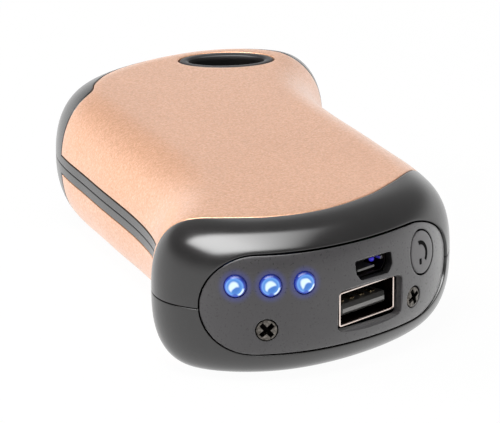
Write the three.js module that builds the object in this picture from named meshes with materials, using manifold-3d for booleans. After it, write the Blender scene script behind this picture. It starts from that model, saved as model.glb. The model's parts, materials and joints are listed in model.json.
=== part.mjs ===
// Rechargeable hand warmer, in millimetres, lying on its back with +Z up.
// +Y runs along the body from the socket end to the lanyard end, +X runs across it.
// Heights inside the file are measured from the joint plane halfway up the body.
import * as THREE from 'three';
import { mergeVertices } from 'three/addons/utils/BufferGeometryUtils.js';
import Module from 'manifold-3d';

const wasm = await Module();
wasm.setup();

// Driving sizes of the body
const bodyLength = 122.1;
const bodyWidth = 61.2;
const bodyThickness = 24.4;
const edgeReach = 9.3;
const tightestShare = 0.94;
const shellWall = 2.6;
const panelSkin = 1.0;
const bandHeight = 3.6;
const gap = 0.3;
const overrun = 20;
const weldDistance = 0.00001;

const halfLength = bodyLength / 2;
const halfWidth = bodyWidth / 2;
const halfThickness = bodyThickness / 2;
const bandHalf = bandHeight / 2;

// How finely the body is drawn
const outlineSteps = 64;
const edgeRings = 4;
const innerRings = 3;
const cornerSteps = 2;
const circleSteps = 20;
const smallCircleSteps = 12;

// The body's outline seen from above: one half, and the other half is it turned half round
const outlineShares = [
  [-1.07, -0.74],
  [-0.935, -0.925],
  [-0.37, -1.045],
  [0.385, -0.89],
  [0.83, -0.645],
  [0.78, -0.26],
  [0.785, -0.115],
  [0.71, 0.48],
];

// How square the edge rounding is, along the body and at the socket end
const sidePowerShare = 2.3;
const endPowerShare = 2.7;
const powerRiseShares = [-0.45, -0.8];

class ClosedSpline extends THREE.Curve {
  constructor(points) {
    super();
    this.points = points;
    this.arcLengthDivisions = 600;
  }

  getPoint(t, target = new THREE.Vector2()) {
    const count = this.points.length;
    const span = (t - Math.floor(t)) * count;
    const first = Math.floor(span);
    const f = span - first;
    const weights = [
      (1 - f) ** 3 / 6,
      (3 * f ** 3 - 6 * f ** 2 + 4) / 6,
      (-3 * f ** 3 + 3 * f ** 2 + 3 * f + 1) / 6,
      f ** 3 / 6,
    ];
    target.set(0, 0);
    weights.forEach((weight, k) => {
      target.addScaledVector(this.points[(first + k - 1 + count) % count], weight);
    });
    return target;
  }
}

function bodyOutline() {
  const half = outlineShares.map(([x, y]) => new THREE.Vector2(x * halfWidth, y * halfLength));
  const turned = half.map((point) => point.clone().negate());
  return new ClosedSpline([...half, ...turned]);
}

const outline = bodyOutline();
const outlineLength = outline.getLength();

// Point, direction and outward normal of the outline, by the spline's own measure or by a share of length
function stationAt(t) {
  const point = outline.getPoint(t);
  const along = outline.getTangent(t);
  const outward = new THREE.Vector2(along.y, -along.x);
  return { point, along, outward };
}

function outlineAt(share) {
  return stationAt(outline.getUtoTmapping(share - Math.floor(share)));
}

const outlineStations = Array.from({ length: outlineSteps }, (_, i) => stationAt(i / outlineSteps));

// The radius of the outline's tightest outward bend
function tightestRadius() {
  const radii = outlineStations.map(({ point, along }, i) => {
    const next = outlineStations[(i + 1) % outlineSteps];
    const turn = along.cross(next.along);
    return turn > 0 ? next.point.distanceTo(point) / turn : outlineLength;
  });
  return Math.min(...radii);
}

// How far in the edge rounding runs: the bends of the outline leave no room for more
const edgeRun = Math.min(edgeReach, tightestShare * tightestRadius());

// Solids from geometries

function solidOf(geometry) {
  const bare = geometry.clone();
  bare.deleteAttribute('normal');
  bare.deleteAttribute('uv');
  const merged = mergeVertices(bare, weldDistance);
  const mesh = new wasm.Mesh({
    numProp: 3,
    vertProperties: new Float32Array(merged.attributes.position.array),
    triVerts: new Uint32Array(merged.index.array),
  });
  return new wasm.Manifold(mesh);
}

function geometryOf(solid) {
  const mesh = solid.getMesh();
  const geometry = new THREE.BufferGeometry();
  geometry.setAttribute('position', new THREE.BufferAttribute(mesh.vertProperties, 3));
  geometry.setIndex(new THREE.BufferAttribute(mesh.triVerts, 1));
  geometry.computeVertexNormals();
  return geometry;
}

function placed(geometry, matrix) {
  return solidOf(geometry.clone().applyMatrix4(matrix));
}

function moved(geometry, x, y, z) {
  return placed(geometry, new THREE.Matrix4().makeTranslation(x, y, z));
}

// A flat shape drawn in X and Y, standing from height low to height high
function prism(points, low, high) {
  const geometry = new THREE.ExtrudeGeometry(new THREE.Shape(points), {
    depth: high - low,
    bevelEnabled: false,
  });
  return moved(geometry, 0, 0, low);
}

function roundedRectangle(width, height, radius) {
  const shape = new THREE.Shape();
  const x = width / 2;
  const y = height / 2;
  shape.moveTo(-x + radius, -y);
  shape.lineTo(x - radius, -y);
  shape.absarc(x - radius, -y + radius, radius, -Math.PI / 2, 0);
  shape.lineTo(x, y - radius);
  shape.absarc(x - radius, y - radius, radius, 0, Math.PI / 2);
  shape.lineTo(-x + radius, y);
  shape.absarc(-x + radius, y - radius, radius, Math.PI / 2, Math.PI);
  shape.lineTo(-x, -y + radius);
  shape.absarc(-x + radius, -y + radius, radius, Math.PI, 1.5 * Math.PI);
  return shape;
}

function rectangle(width, height) {
  const x = width / 2;
  const y = height / 2;
  return new THREE.Shape([
    new THREE.Vector2(-x, -y),
    new THREE.Vector2(x, -y),
    new THREE.Vector2(x, y),
    new THREE.Vector2(-x, y),
  ]);
}

function slab(shape, depth, curveSegments = cornerSteps) {
  return new THREE.ExtrudeGeometry(shape, { depth, bevelEnabled: false, curveSegments });
}

// The body's rounded surface, moved inwards by an inset

function edgePower(y) {
  const [start, full] = powerRiseShares;
  const share = (start - y / halfLength) / (start - full);
  return sidePowerShare + (endPowerShare - sidePowerShare) * THREE.MathUtils.smoothstep(share, 0, 1);
}

function pillow(inset, rings = innerRings) {
  const positions = [];
  const indices = [];
  const height = halfThickness - inset;
  const reach = edgeRun - inset;
  for (let ring = -rings; ring <= rings; ring += 1) {
    const angle = (Math.abs(ring) / rings) * (Math.PI / 2);
    for (const { point, outward } of outlineStations) {
      const power = edgePower(point.y);
      const inwards = Math.abs(ring) === rings ? reach : reach * (1 - Math.cos(angle) ** (2 / power));
      const at = point.clone().addScaledVector(outward, -inset - inwards);
      positions.push(at.x, at.y, Math.sign(ring) * height * Math.sin(angle) ** (2 / power));
    }
  }
  for (let ring = 0; ring < 2 * rings; ring += 1) {
    for (let i = 0; i < outlineSteps; i += 1) {
      const a = ring * outlineSteps + i;
      const b = ring * outlineSteps + ((i + 1) % outlineSteps);
      indices.push(a, b, b + outlineSteps, a, b + outlineSteps, a + outlineSteps);
    }
  }
  const flat = outlineStations.map(({ point, outward }) => point.clone().addScaledVector(outward, -edgeRun));
  const topStart = 2 * rings * outlineSteps;
  for (const [a, b, c] of THREE.ShapeUtils.triangulateShape(flat, [])) {
    indices.push(topStart + a, topStart + b, topStart + c);
    indices.push(a, c, b);
  }
  const geometry = new THREE.BufferGeometry();
  geometry.setAttribute('position', new THREE.Float32BufferAttribute(positions, 3));
  geometry.setIndex(indices);
  return solidOf(geometry);
}

// How far the body's surface lies inside its outline at a height, at the socket end
function crownAt(z) {
  const share = Math.min(Math.abs(z) / halfThickness, 1);
  return edgeRun * (1 - (1 - share ** endPowerShare) ** (1 / endPowerShare));
}

// The gold panels' ends, seen from above, as shares of the half width and half length
const nearEdgeShares = [
  [-1.2, -0.67],
  [-0.95, -0.727],
  [-0.78, -0.776],
  [-0.53, -0.82],
  [-0.38, -0.834],
  [-0.21, -0.828],
  [-0.02, -0.797],
  [0.2, -0.731],
  [0.38, -0.65],
  [0.51, -0.58],
  [0.68, -0.47],
  [0.95, -0.3],
];
const farEdgeShares = [
  [-1.1, 0.44],
  [-0.8, 0.478],
  [-0.64, 0.512],
  [-0.56, 0.548],
  [-0.5, 0.62],
  [-0.36, 0.722],
  [-0.17, 0.803],
  [0.1, 0.872],
  [0.36, 0.893],
  [0.58, 0.868],
  [0.73, 0.8],
  [0.82, 0.73],
  [0.92, 0.7],
  [1.2, 0.683],
];
const edgeLineSteps = 30;

function edgeLine(shares) {
  const points = shares.map(([x, y]) => new THREE.Vector2(x * halfWidth, y * halfLength));
  return new THREE.SplineCurve(points).getPoints(edgeLineSteps);
}

// A line moved sideways, to its left for a positive distance
function shifted(points, distance) {
  return points.map((point, i) => {
    const before = points[Math.max(i - 1, 0)];
    const after = points[Math.min(i + 1, points.length - 1)];
    const along = after.clone().sub(before).normalize();
    return new THREE.Vector2(point.x - along.y * distance, point.y + along.x * distance);
  });
}

// The plan of a gold panel, grown at both ends by a clearance
function panelPlan(clearance) {
  const near = shifted(edgeLine(nearEdgeShares), -clearance);
  const far = shifted(edgeLine(farEdgeShares), clearance);
  return [...near, ...far.reverse()];
}

function panelSpace(side, clearance) {
  const plan = panelPlan(clearance);
  const from = bandHalf - clearance;
  return side > 0 ? prism(plan, from, overrun) : prism(plan, -overrun, -from);
}

// The lanyard hole: an oval eyelet through the far end, in a front and a back half
const eyeletShares = [0.3889, 0.7437];
const eyeletTurn = -0.23;
const eyeletLength = 17.2;
const eyeletBreadth = 10.8;
const eyeletOverhang = 1.0;
const eyeletTube = 0.9;
const eyeletFlange = 0.9;
const eyeletMouth = 1.0;
const eyeletSteps = 24;

// Points of an oval round the eyelet's middle, grown from the flange's outline
function ovalPoints(grow) {
  const long = eyeletLength / 2 + grow;
  const short = eyeletBreadth / 2 + grow;
  const x = eyeletShares[0] * halfWidth;
  const y = eyeletShares[1] * halfLength;
  const oval = new THREE.EllipseCurve(x, y, long, short, 0, 2 * Math.PI, false, eyeletTurn);
  return oval.getPoints(eyeletSteps).slice(0, -1);
}

function ovalPost(grow) {
  return prism(ovalPoints(grow), -overrun, overrun);
}

// A ring with an oval plan, from a closed section of growths and heights
function ovalRing(section) {
  const positions = [];
  const indices = [];
  for (const [grow, z] of section) {
    for (const point of ovalPoints(grow)) positions.push(point.x, point.y, z);
  }
  section.forEach((_, row) => {
    const next = (row + 1) % section.length;
    for (let i = 0; i < eyeletSteps; i += 1) {
      const j = (i + 1) % eyeletSteps;
      const [a, b] = [row * eyeletSteps + i, row * eyeletSteps + j];
      const [c, d] = [next * eyeletSteps + j, next * eyeletSteps + i];
      indices.push(a, b, c, a, c, d);
    }
  });
  const geometry = new THREE.BufferGeometry();
  geometry.setAttribute('position', new THREE.Float32BufferAttribute(positions, 3));
  geometry.setIndex(indices);
  return solidOf(geometry);
}

// Places on the socket face, by distance along it from the port plate's middle, by height and by turn
const plateMiddleShare = 0.1265;

function faceFrame({ along, z, turn = 0 }) {
  const { point, along: tangent, outward } = outlineAt(plateMiddleShare + along / outlineLength);
  const matrix = new THREE.Matrix4().makeBasis(
    new THREE.Vector3(tangent.x, tangent.y, 0),
    new THREE.Vector3(0, 0, 1),
    new THREE.Vector3(outward.x, outward.y, 0),
  );
  return matrix.setPosition(point.x, point.y, z).multiply(new THREE.Matrix4().makeRotationY(turn));
}

// A flat shape on the socket face, from one depth behind the outline to another
function onFace(shape, place, from, to) {
  const geometry = slab(shape, from - to);
  geometry.translate(0, 0, -from);
  return placed(geometry, faceFrame(place));
}

function circle(radius) {
  return new THREE.Shape().absarc(0, 0, radius, 0, 2 * Math.PI);
}

function rodOnFace(radius, place, from, to, steps = circleSteps) {
  const geometry = new THREE.CylinderGeometry(radius, radius, from - to, steps);
  geometry.rotateX(Math.PI / 2);
  geometry.translate(0, 0, -(from + to) / 2);
  return placed(geometry, faceFrame(place));
}

// Port plate
const plateLength = 52.6;
const plateHeight = 16.1;
const plateRise = 0.55;
const plateSkin = 1.4;
const plateSeam = 0.25;
const plateSink = 0.12;
const plateLedge = 1.4;
const plateLeftEnd = 9.1;
const plateRightEnd = 12;
const plateColumns = 24;

// A place on the plate, from shares of its half length and half height
function platePlace([alongShare, riseShare]) {
  return { along: (alongShare * plateLength) / 2, z: plateRise + (riseShare * plateHeight) / 2 };
}

// Half height of the plate's outline at a distance along it, shrunk by a margin
function plateHalfHeight(along, margin) {
  const half = plateHeight / 2;
  const reach = plateLength / 2;
  const end = along < 0 ? plateLeftEnd : plateRightEnd;
  const past = Math.max(Math.abs(along) - (reach - end), 0) / end;
  return Math.max(half * Math.sqrt(Math.max(1 - past ** 2, 0)) - margin, 0);
}

// A body with the plate's outline that reaches through the socket face, between two depths
function plateSpace(margin, from, to) {
  const positions = [];
  const indices = [];
  const reach = plateLength / 2;
  const least = plateSeam / 4;
  for (let i = 0; i <= plateColumns; i += 1) {
    const share = -Math.cos((Math.PI * i) / plateColumns);
    const along = share * (reach - margin);
    const high = Math.max(plateHalfHeight(share * reach, 0) * (1 - margin / (plateHeight / 2)), least);
    const { point, outward } = outlineAt(plateMiddleShare + along / outlineLength);
    for (const [depth, z] of [[to, -high], [to, high], [from, high], [from, -high]]) {
      const at = point.clone().addScaledVector(outward, -depth);
      positions.push(at.x, at.y, plateRise + z);
    }
  }
  for (let i = 0; i < plateColumns; i += 1) {
    for (let k = 0; k < 4; k += 1) {
      const a = 4 * i + k;
      const b = 4 * i + ((k + 1) % 4);
      indices.push(a, a + 4, b + 4, a, b + 4, b);
    }
  }
  const last = 4 * plateColumns;
  indices.push(0, 1, 2, 0, 2, 3);
  indices.push(last, last + 2, last + 1, last, last + 3, last + 2);
  const geometry = new THREE.BufferGeometry();
  geometry.setAttribute('position', new THREE.Float32BufferAttribute(positions, 3));
  geometry.setIndex(indices);
  return solidOf(geometry);
}

// Status lights: a domed lens in the plate and a light chip behind it
const lightCount = 3;
const lightPitch = 5.57;
const firstLightShares = [-0.781, 0.43];
const lensRadius = 1.75;
const lensDome = 0.75;
const lensSink = 0.3;
const lensDepth = 3.8;
const lensArcSteps = 4;
const chipWidth = 3.2;
const chipDepth = 2.2;
const chipHeight = 2.6;

function lightPlace(index) {
  const first = platePlace(firstLightShares);
  return { along: first.along + index * lightPitch, z: first.z };
}

// Fixing screws, and the bosses that take them
const screwShares = [[-0.594, -0.466], [0.522, -0.455]];
const screwHeadRadius = 1.65;
const screwHeadHeight = 1.0;
const screwSink = 0.4;
const screwShankRadius = 1.0;
const screwShank = 5.0;
const crossArm = 2.2;
const crossWidth = 0.5;
const crossDepth = 0.6;
const bossRadius = 2.3;
const bossLength = 5.5;
const bossWeb = 1.4;

// Sockets, both turned a little about the vertical from square on to the plate
const socketTurn = THREE.MathUtils.degToRad(4.6);
const usbShares = [0.137, -0.261];
const usbWidth = 13.1;
const usbHeight = 5.7;
const usbSheet = 0.35;
const usbSink = 1.35;
const usbLength = 13.5;
const usbCorner = 0.5;
const usbTongueWidth = 11.0;
const usbTongueHeight = 1.8;
const usbTongueSink = 0.8;
const usbTongueDrop = 0.7;
const usbBlockLength = 3.0;
const contactWidth = 1.0;
const contactHeight = 0.25;
const contactPitch = 2.4;
const contactCount = 4;
const contactSink = 1.0;

const microShift = 0.6;
const microLift = 1.45;
const microWidth = 7.6;
const microFoot = 5.8;
const microHeight = 2.9;
const microSheet = 0.3;
const microSink = 1.45;
const microLength = 5.6;
const microTongueWidth = 4.0;
const microTongueHeight = 0.7;
const microTongueSink = 0.8;
const microBlockLength = 1.5;

// Power button, and the switch that it presses
const buttonShares = [0.63, 0.382];
const buttonRadius = 3.45;
const buttonFlangeRadius = 3.8;
const buttonFlangeSink = 4.35;
const buttonFlange = 0.6;
const buttonNubRadius = 1.3;
const buttonNub = 0.65;
const buttonTravel = 0.5;
const switchWidth = 6.0;
const switchDepth = 3.6;
const switchFoot = 2.0;
const plungerRadius = 0.85;
const plungerOut = 0.9;
const plungerIn = 1.6;

// Circuit boards
const powerBoardSkin = 1.2;
const upperBoardSkin = 1.0;
const boardEdge = 4.8;
const boardRoom = 9.5;
const postShares = [[-0.62, 0.304], [0.505, 0.12]];
const postRadius = 1.3;
const coilShares = [-0.456, 0.222];
const coilSize = 6.2;
const coilHeight = 3.4;
const controlShares = [0.28, 0.1];
const controlSize = 5;
const controlHeight = 1.0;

// Cells, pads and heater films
const waistShare = 0.78;
const cellSideRoom = 5.87;
const cellNearRoom = 34.05;
const cellFarRoom = 26.05;
const cellHeight = 7.0;
const cellCorner = 3.0;
const cradleWall = 1.2;
const cradleTop = -4.4;
const filmSkin = 0.3;
const filmMargin = 4.5;
const padSkin = 1.2;
const padMargin = 6.5;
const sensorRadius = 0.6;
const sensorLength = 4.0;
const sensorShare = -0.5;
const leadRadius = 0.6;
const leadShare = -0.306;
const leadPitch = 3.0;
const leadOnBoard = 2.5;
const heaterLeadRadius = 0.4;
const heaterLeadRoom = 1.15;
const leadNotch = 3.0;
const leadSteps = 8;

// Places, heights and rows that follow from these
const screwPlaces = screwShares.map(platePlace);
const usbPlace = { ...platePlace(usbShares), turn: socketTurn };
const microPlace = {
  along: usbPlace.along + microShift,
  z: usbPlace.z + usbHeight / 2 + microLift + microHeight / 2,
  turn: socketTurn,
};
const buttonPlace = platePlace(buttonShares);
const innerTop = halfThickness - shellWall;
const filmTop = innerTop - gap;
const padTop = filmTop - filmSkin - gap;
const cellTop = gap / 2 + cellHeight;
const cellWidth = waistShare * bodyWidth - 2 * cellSideRoom;
const cellLength = bodyLength - cellNearRoom - cellFarRoom;
const cellFront = cellNearRoom - halfLength;
const cellMiddleY = cellFront + cellLength / 2;
const heaterLeadX = postShares[1][0] * halfWidth - postRadius - heaterLeadRoom;
const boardRear = cellFront - boardRoom;
const leadEnd = boardRear - leadOnBoard;
const powerBoardTop = usbPlace.z - usbHeight / 2 - gap;
const powerBoardFoot = powerBoardTop - powerBoardSkin;
const upperBoardFoot = microPlace.z + microHeight / 2 + gap;
const upperBoardTop = upperBoardFoot + upperBoardSkin;
const plateBack = plateSink + plateSkin;
const bossBack = plateBack + gap + bossLength;
const flangeReach = buttonFlangeSink + buttonFlange + buttonTravel + gap;

// Colours
const colours = {
  gold: { color: 0xe3b79c, roughness: 0.42, metalness: 0.55 },
  gloss: { color: 0x1c1a1a, roughness: 0.18, metalness: 0.0 },
  satin: { color: 0x4d4b4d, roughness: 0.55, metalness: 0.0 },
  lens: { color: 0x5aa0ff, roughness: 0.1, metalness: 0.0 },
  steel: { color: 0xd9d4cf, roughness: 0.3, metalness: 1.0 },
  nickel: { color: 0x7b7672, roughness: 0.35, metalness: 1.0 },
  brass: { color: 0xd1a24a, roughness: 0.35, metalness: 1.0 },
  tongue: { color: 0x2b2a2c, roughness: 0.6, metalness: 0.0 },
  board: { color: 0x1f5b3a, roughness: 0.5, metalness: 0.0 },
  chip: { color: 0x202022, roughness: 0.6, metalness: 0.0 },
  ferrite: { color: 0x55565a, roughness: 0.8, metalness: 0.0 },
  pouch: { color: 0xb9bcc2, roughness: 0.35, metalness: 0.7 },
  foam: { color: 0x3a3a3c, roughness: 0.95, metalness: 0.0 },
  film: { color: 0xc77f2f, roughness: 0.4, metalness: 0.0 },
  red: { color: 0xb02020, roughness: 0.5, metalness: 0.0 },
  black: { color: 0x151515, roughness: 0.5, metalness: 0.0 },
  white: { color: 0xe8e6df, roughness: 0.4, metalness: 0.0 },
};

const handWarmer = new THREE.Group();
handWarmer.position.z = halfThickness;

function add(name, solid, colour) {
  const mesh = new THREE.Mesh(geometryOf(solid), new THREE.MeshStandardMaterial(colours[colour]));
  mesh.name = name;
  handWarmer.add(mesh);
}

// Shapes that several pieces share

function usbOutline(grow) {
  return roundedRectangle(usbWidth + 2 * grow, usbHeight + 2 * grow, usbCorner);
}

function microOutline(grow) {
  const top = microWidth / 2 + grow;
  const foot = microFoot / 2 + grow;
  const high = microHeight / 2 + grow;
  const shape = new THREE.Shape();
  shape.moveTo(-foot, -high);
  shape.lineTo(foot, -high);
  shape.lineTo(top, -high / 4);
  shape.lineTo(top, high);
  shape.lineTo(-top, high);
  shape.lineTo(-top, -high / 4);
  shape.closePath();
  return shape;
}

function boxOf(width, depth, height, x, y, foot) {
  return moved(new THREE.BoxGeometry(width, depth, height), x, y, foot + height / 2);
}

function plate(width, length, corner, skin, y, foot) {
  return moved(slab(roundedRectangle(width, length, corner), skin), 0, y, foot);
}

// A round lead through a few points
function lead(radius, points) {
  const path = new THREE.CatmullRomCurve3(points.map((point) => new THREE.Vector3(...point)));
  const geometry = new THREE.ExtrudeGeometry(circle(radius), {
    steps: leadSteps,
    curveSegments: cornerSteps,
    bevelEnabled: false,
    extrudePath: path,
  });
  return solidOf(geometry);
}

const outer = pillow(0, edgeRings);
const panelBack = pillow(panelSkin);
const panelSeat = pillow(panelSkin + gap);
const hollow = pillow(shellWall);
const rooted = pillow(shellWall / 2);
const plateSeat = pillow(plateBack + gap);

const plan = [
  new THREE.Vector2(-bodyLength, -bodyLength),
  new THREE.Vector2(bodyLength, -bodyLength),
  new THREE.Vector2(bodyLength, bodyLength),
  new THREE.Vector2(-bodyLength, bodyLength),
];

// Shells

function shell(side) {
  const half = side > 0 ? prism(plan, gap / 2, overrun) : prism(plan, -overrun, -gap / 2);
  return outer
    .subtract(hollow)
    .intersect(half)
    .subtract(panelSpace(side, gap).subtract(panelSeat))
    .subtract(plateSpace(-plateSeam, overrun / 2, -overrun).subtract(plateSeat))
    .subtract(plateSpace(plateLedge, overrun / 2, -overrun))
    .subtract(ovalPost(gap - eyeletOverhang));
}

// A place on the boards, from shares of the half width and of the way from their rear to the body's end
function boardPlace([xShare, nearShare]) {
  return { x: xShare * halfWidth, y: THREE.MathUtils.lerp(boardRear, -halfLength, nearShare) };
}

function boardPost(shares, from, to) {
  const { x, y } = boardPlace(shares);
  const post = new THREE.CylinderGeometry(postRadius, postRadius, to - from, smallCircleSteps);
  return moved(post.rotateX(Math.PI / 2), x, y, (from + to) / 2);
}

function upperShell() {
  const foot = upperBoardTop + gap;
  const posts = postShares.map((shares) => boardPost(shares, foot, halfThickness).intersect(rooted));
  return posts.reduce((body, post) => body.add(post), shell(1))
    .subtract(rodOnFace(buttonFlangeRadius + gap, buttonPlace, flangeReach, plateBack));
}

function screwBoss(place) {
  const drop = halfThickness + place.z;
  const webPlace = { along: place.along, z: place.z - drop / 2 };
  return rodOnFace(bossRadius, place, bossBack, 0, smallCircleSteps)
    .add(onFace(rectangle(bossWeb, drop), webPlace, bossBack, 0))
    .intersect(plateSeat);
}

function usbEnvelope(grow) {
  return onFace(usbOutline(grow), usbPlace, usbSink + usbLength + grow, usbSink - grow);
}

function lowerShell() {
  const cradle = plate(
    cellWidth + 2 * (gap + cradleWall),
    cellLength + 2 * (gap + cradleWall),
    cellCorner + cradleWall,
    halfThickness + cradleTop,
    cellMiddleY,
    -halfThickness,
  )
    .subtract(plate(cellWidth + 2 * gap, cellLength + 2 * gap, cellCorner, overrun, cellMiddleY, -overrun))
    .subtract(boxOf(leadNotch, cellLength, overrun, -heaterLeadX, cellFront, -overrun))
    .intersect(rooted);
  const top = powerBoardFoot - gap;
  const posts = postShares.map((shares) => boardPost(shares, -halfThickness, top).intersect(rooted));
  const bosses = screwPlaces.map(screwBoss);
  const bores = screwPlaces.map((place) => (
    rodOnFace(screwShankRadius + gap, place, overrun / 2, -overrun, smallCircleSteps)
  ));
  const body = [cradle, ...posts, ...bosses].reduce((sum, piece) => sum.add(piece), shell(-1));
  return [usbEnvelope(gap), ...bores].reduce((sum, piece) => sum.subtract(piece), body);
}

add('upper_shell', upperShell(), 'gloss');
add('lower_shell', lowerShell(), 'gloss');

// Gold panels

function panel(side) {
  return panelSpace(side, 0).intersect(outer.subtract(panelBack)).subtract(ovalPost(gap));
}

add('front_panel', panel(1), 'gold');
add('back_panel', panel(-1), 'gold');

// Lanyard eyelet

function eyelet(side) {
  const tube = -eyeletOverhang;
  const bore = tube - eyeletTube;
  const top = halfThickness;
  const section = [
    [bore, gap / 2],
    [tube, gap / 2],
    [tube, top - eyeletFlange],
    [0, top - eyeletFlange],
    [0, top - eyeletFlange / 3],
    [-eyeletFlange / 3, top],
    [bore + eyeletMouth, top],
    [bore + eyeletMouth / 3, top - eyeletMouth / 3],
    [bore, top - eyeletMouth],
  ];
  const sided = section.map(([grow, z]) => [grow, side * z]);
  return ovalRing(side > 0 ? sided : sided.reverse());
}

add('eyelet_front', eyelet(1), 'satin');
add('eyelet_back', eyelet(-1), 'satin');

// Port plate, with the holes for what passes through it

const plateBody = pillow(plateSink, edgeRings)
  .subtract(pillow(plateBack))
  .intersect(plateSpace(0, overrun / 2, -overrun));

function portPlate() {
  const cuts = [
    onFace(usbOutline(gap), usbPlace, overrun / 2, -overrun),
    onFace(microOutline(gap), microPlace, overrun / 2, -overrun),
    rodOnFace(buttonRadius + gap, buttonPlace, overrun / 2, -overrun),
  ];
  for (let i = 0; i < lightCount; i += 1) {
    cuts.push(rodOnFace(lensRadius + gap, lightPlace(i), overrun / 2, -overrun, smallCircleSteps));
  }
  for (const place of screwPlaces) {
    cuts.push(rodOnFace(screwHeadRadius + gap, place, screwSink + screwHeadHeight + gap, -overrun, smallCircleSteps));
    cuts.push(rodOnFace(screwShankRadius + gap, place, overrun / 2, -overrun, smallCircleSteps));
  }
  return cuts.reduce((body, cut) => body.subtract(cut), plateBody);
}

add('port_plate', portPlate(), 'satin');

// Status lights

function lens(place) {
  const profile = [new THREE.Vector2(0, -lensDepth), new THREE.Vector2(lensRadius, -lensDepth)];
  for (let i = 0; i < lensArcSteps; i += 1) {
    const angle = (i / lensArcSteps) * (Math.PI / 2);
    profile.push(new THREE.Vector2(lensRadius * Math.cos(angle), lensDome * Math.sin(angle)));
  }
  profile.push(new THREE.Vector2(0, lensDome));
  const geometry = new THREE.LatheGeometry(profile, smallCircleSteps);
  geometry.rotateX(Math.PI / 2);
  geometry.translate(0, 0, -lensSink);
  return placed(geometry, faceFrame(place));
}

for (let i = 0; i < lightCount; i += 1) {
  const place = lightPlace(i);
  const chipPlace = { along: place.along, z: upperBoardFoot - gap - chipHeight / 2 };
  const chipFront = lensSink + lensDepth + gap;
  add(`light_lens_${i + 1}`, lens(place), 'lens');
  add(
    `light_chip_${i + 1}`,
    onFace(rectangle(chipWidth, chipHeight), chipPlace, chipFront + chipDepth, chipFront),
    'white',
  );
}

// Fixing screws

function screw(place) {
  const back = screwSink + screwHeadHeight;
  return rodOnFace(screwHeadRadius, place, back, screwSink, smallCircleSteps)
    .add(rodOnFace(screwShankRadius, place, back + screwShank, screwSink, smallCircleSteps))
    .subtract(onFace(rectangle(crossArm, crossWidth), place, screwSink + crossDepth, 0))
    .subtract(onFace(rectangle(crossWidth, crossArm), place, screwSink + crossDepth, 0));
}

screwPlaces.forEach((place, i) => add(`plate_screw_${i + 1}`, screw(place), 'nickel'));

// Outlet socket: a folded sheet, its tongue and four contacts

const usbInside = { width: usbWidth - 2 * usbSheet, height: usbHeight - 2 * usbSheet };
const usbBack = usbSink + usbLength;
const contactFront = usbSink + usbTongueSink + contactSink;

add(
  'usb_socket_shell',
  usbEnvelope(0).subtract(onFace(usbOutline(-usbSheet), usbPlace, usbBack - usbSheet, 0)),
  'steel',
);

function usbTongue() {
  const blockFront = usbBack - usbSheet - gap - usbBlockLength;
  const block = onFace(
    roundedRectangle(usbInside.width - 2 * gap, usbInside.height - 2 * gap, usbCorner),
    usbPlace,
    usbBack - usbSheet - gap,
    blockFront,
  );
  const tongue = onFace(
    roundedRectangle(usbTongueWidth, usbTongueHeight, usbCorner / 2),
    { ...usbPlace, z: usbPlace.z - usbTongueDrop },
    usbBack - usbSheet - gap,
    usbSink + usbTongueSink,
  );
  return block.add(tongue);
}

add('usb_socket_tongue', usbTongue(), 'tongue');

function usbContact(index) {
  const across = (index - (contactCount - 1) / 2) * contactPitch;
  const rise = usbTongueHeight / 2 + gap + contactHeight / 2 - usbTongueDrop;
  const back = usbBack - usbSheet - 2 * gap - usbBlockLength;
  return solidOf(
    slab(rectangle(contactWidth, contactHeight), back - contactFront)
      .translate(across, rise, -back)
      .applyMatrix4(faceFrame(usbPlace)),
  );
}

for (let i = 0; i < contactCount; i += 1) add(`usb_contact_${i + 1}`, usbContact(i), 'brass');

// Charging socket

const microBack = microSink + microLength;

add(
  'charge_socket_shell',
  onFace(microOutline(0), microPlace, microBack, microSink)
    .subtract(onFace(microOutline(-microSheet), microPlace, microBack - microSheet, 0)),
  'steel',
);

function microTongue() {
  const back = microBack - microSheet - gap;
  const block = onFace(microOutline(-microSheet - gap), microPlace, back, back - microBlockLength);
  const tongue = onFace(
    roundedRectangle(microTongueWidth, microTongueHeight, microTongueHeight / 4),
    microPlace,
    back,
    microSink + microTongueSink,
  );
  return block.add(tongue);
}

add('charge_socket_tongue', microTongue(), 'tongue');

// Power button, flush with the plate, and the switch behind it

function powerButton() {
  const face = plateBody.intersect(rodOnFace(buttonRadius, buttonPlace, plateSkin, -overrun));
  const flangeBack = buttonFlangeSink + buttonFlange;
  return face
    .add(rodOnFace(buttonRadius, buttonPlace, flangeBack, crownAt(buttonPlace.z + buttonRadius) + plateSink))
    .add(rodOnFace(buttonFlangeRadius, buttonPlace, flangeBack, buttonFlangeSink))
    .add(rodOnFace(buttonNubRadius, buttonPlace, flangeBack + buttonNub, buttonFlangeSink, smallCircleSteps));
}

add('power_button', powerButton(), 'satin');

const plungerFront = buttonFlangeSink + buttonFlange + buttonNub + gap;
const switchFront = plungerFront + plungerOut;
const plungerBack = switchFront + plungerIn;

add(
  'switch_plunger',
  rodOnFace(plungerRadius, buttonPlace, plungerBack, plungerFront, smallCircleSteps),
  'white',
);

function switchBody() {
  const top = upperBoardFoot - gap;
  const middle = { along: buttonPlace.along, z: (top + switchFoot) / 2 };
  return onFace(roundedRectangle(switchWidth, top - switchFoot, gap), middle, switchFront + switchDepth, switchFront)
    .subtract(rodOnFace(plungerRadius + gap, buttonPlace, plungerBack + buttonTravel + gap, 0, smallCircleSteps));
}

add('switch_body', switchBody(), 'black');

// Circuit boards

function board(foot, skin) {
  const edge = outlineStations.map(({ point, outward }) => point.clone().addScaledVector(outward, -boardEdge));
  const near = prism(edge, foot, foot + skin);
  return near.subtract(boxOf(2 * bodyLength, bodyLength, overrun, 0, boardRear + halfLength, -overrun / 2));
}

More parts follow.
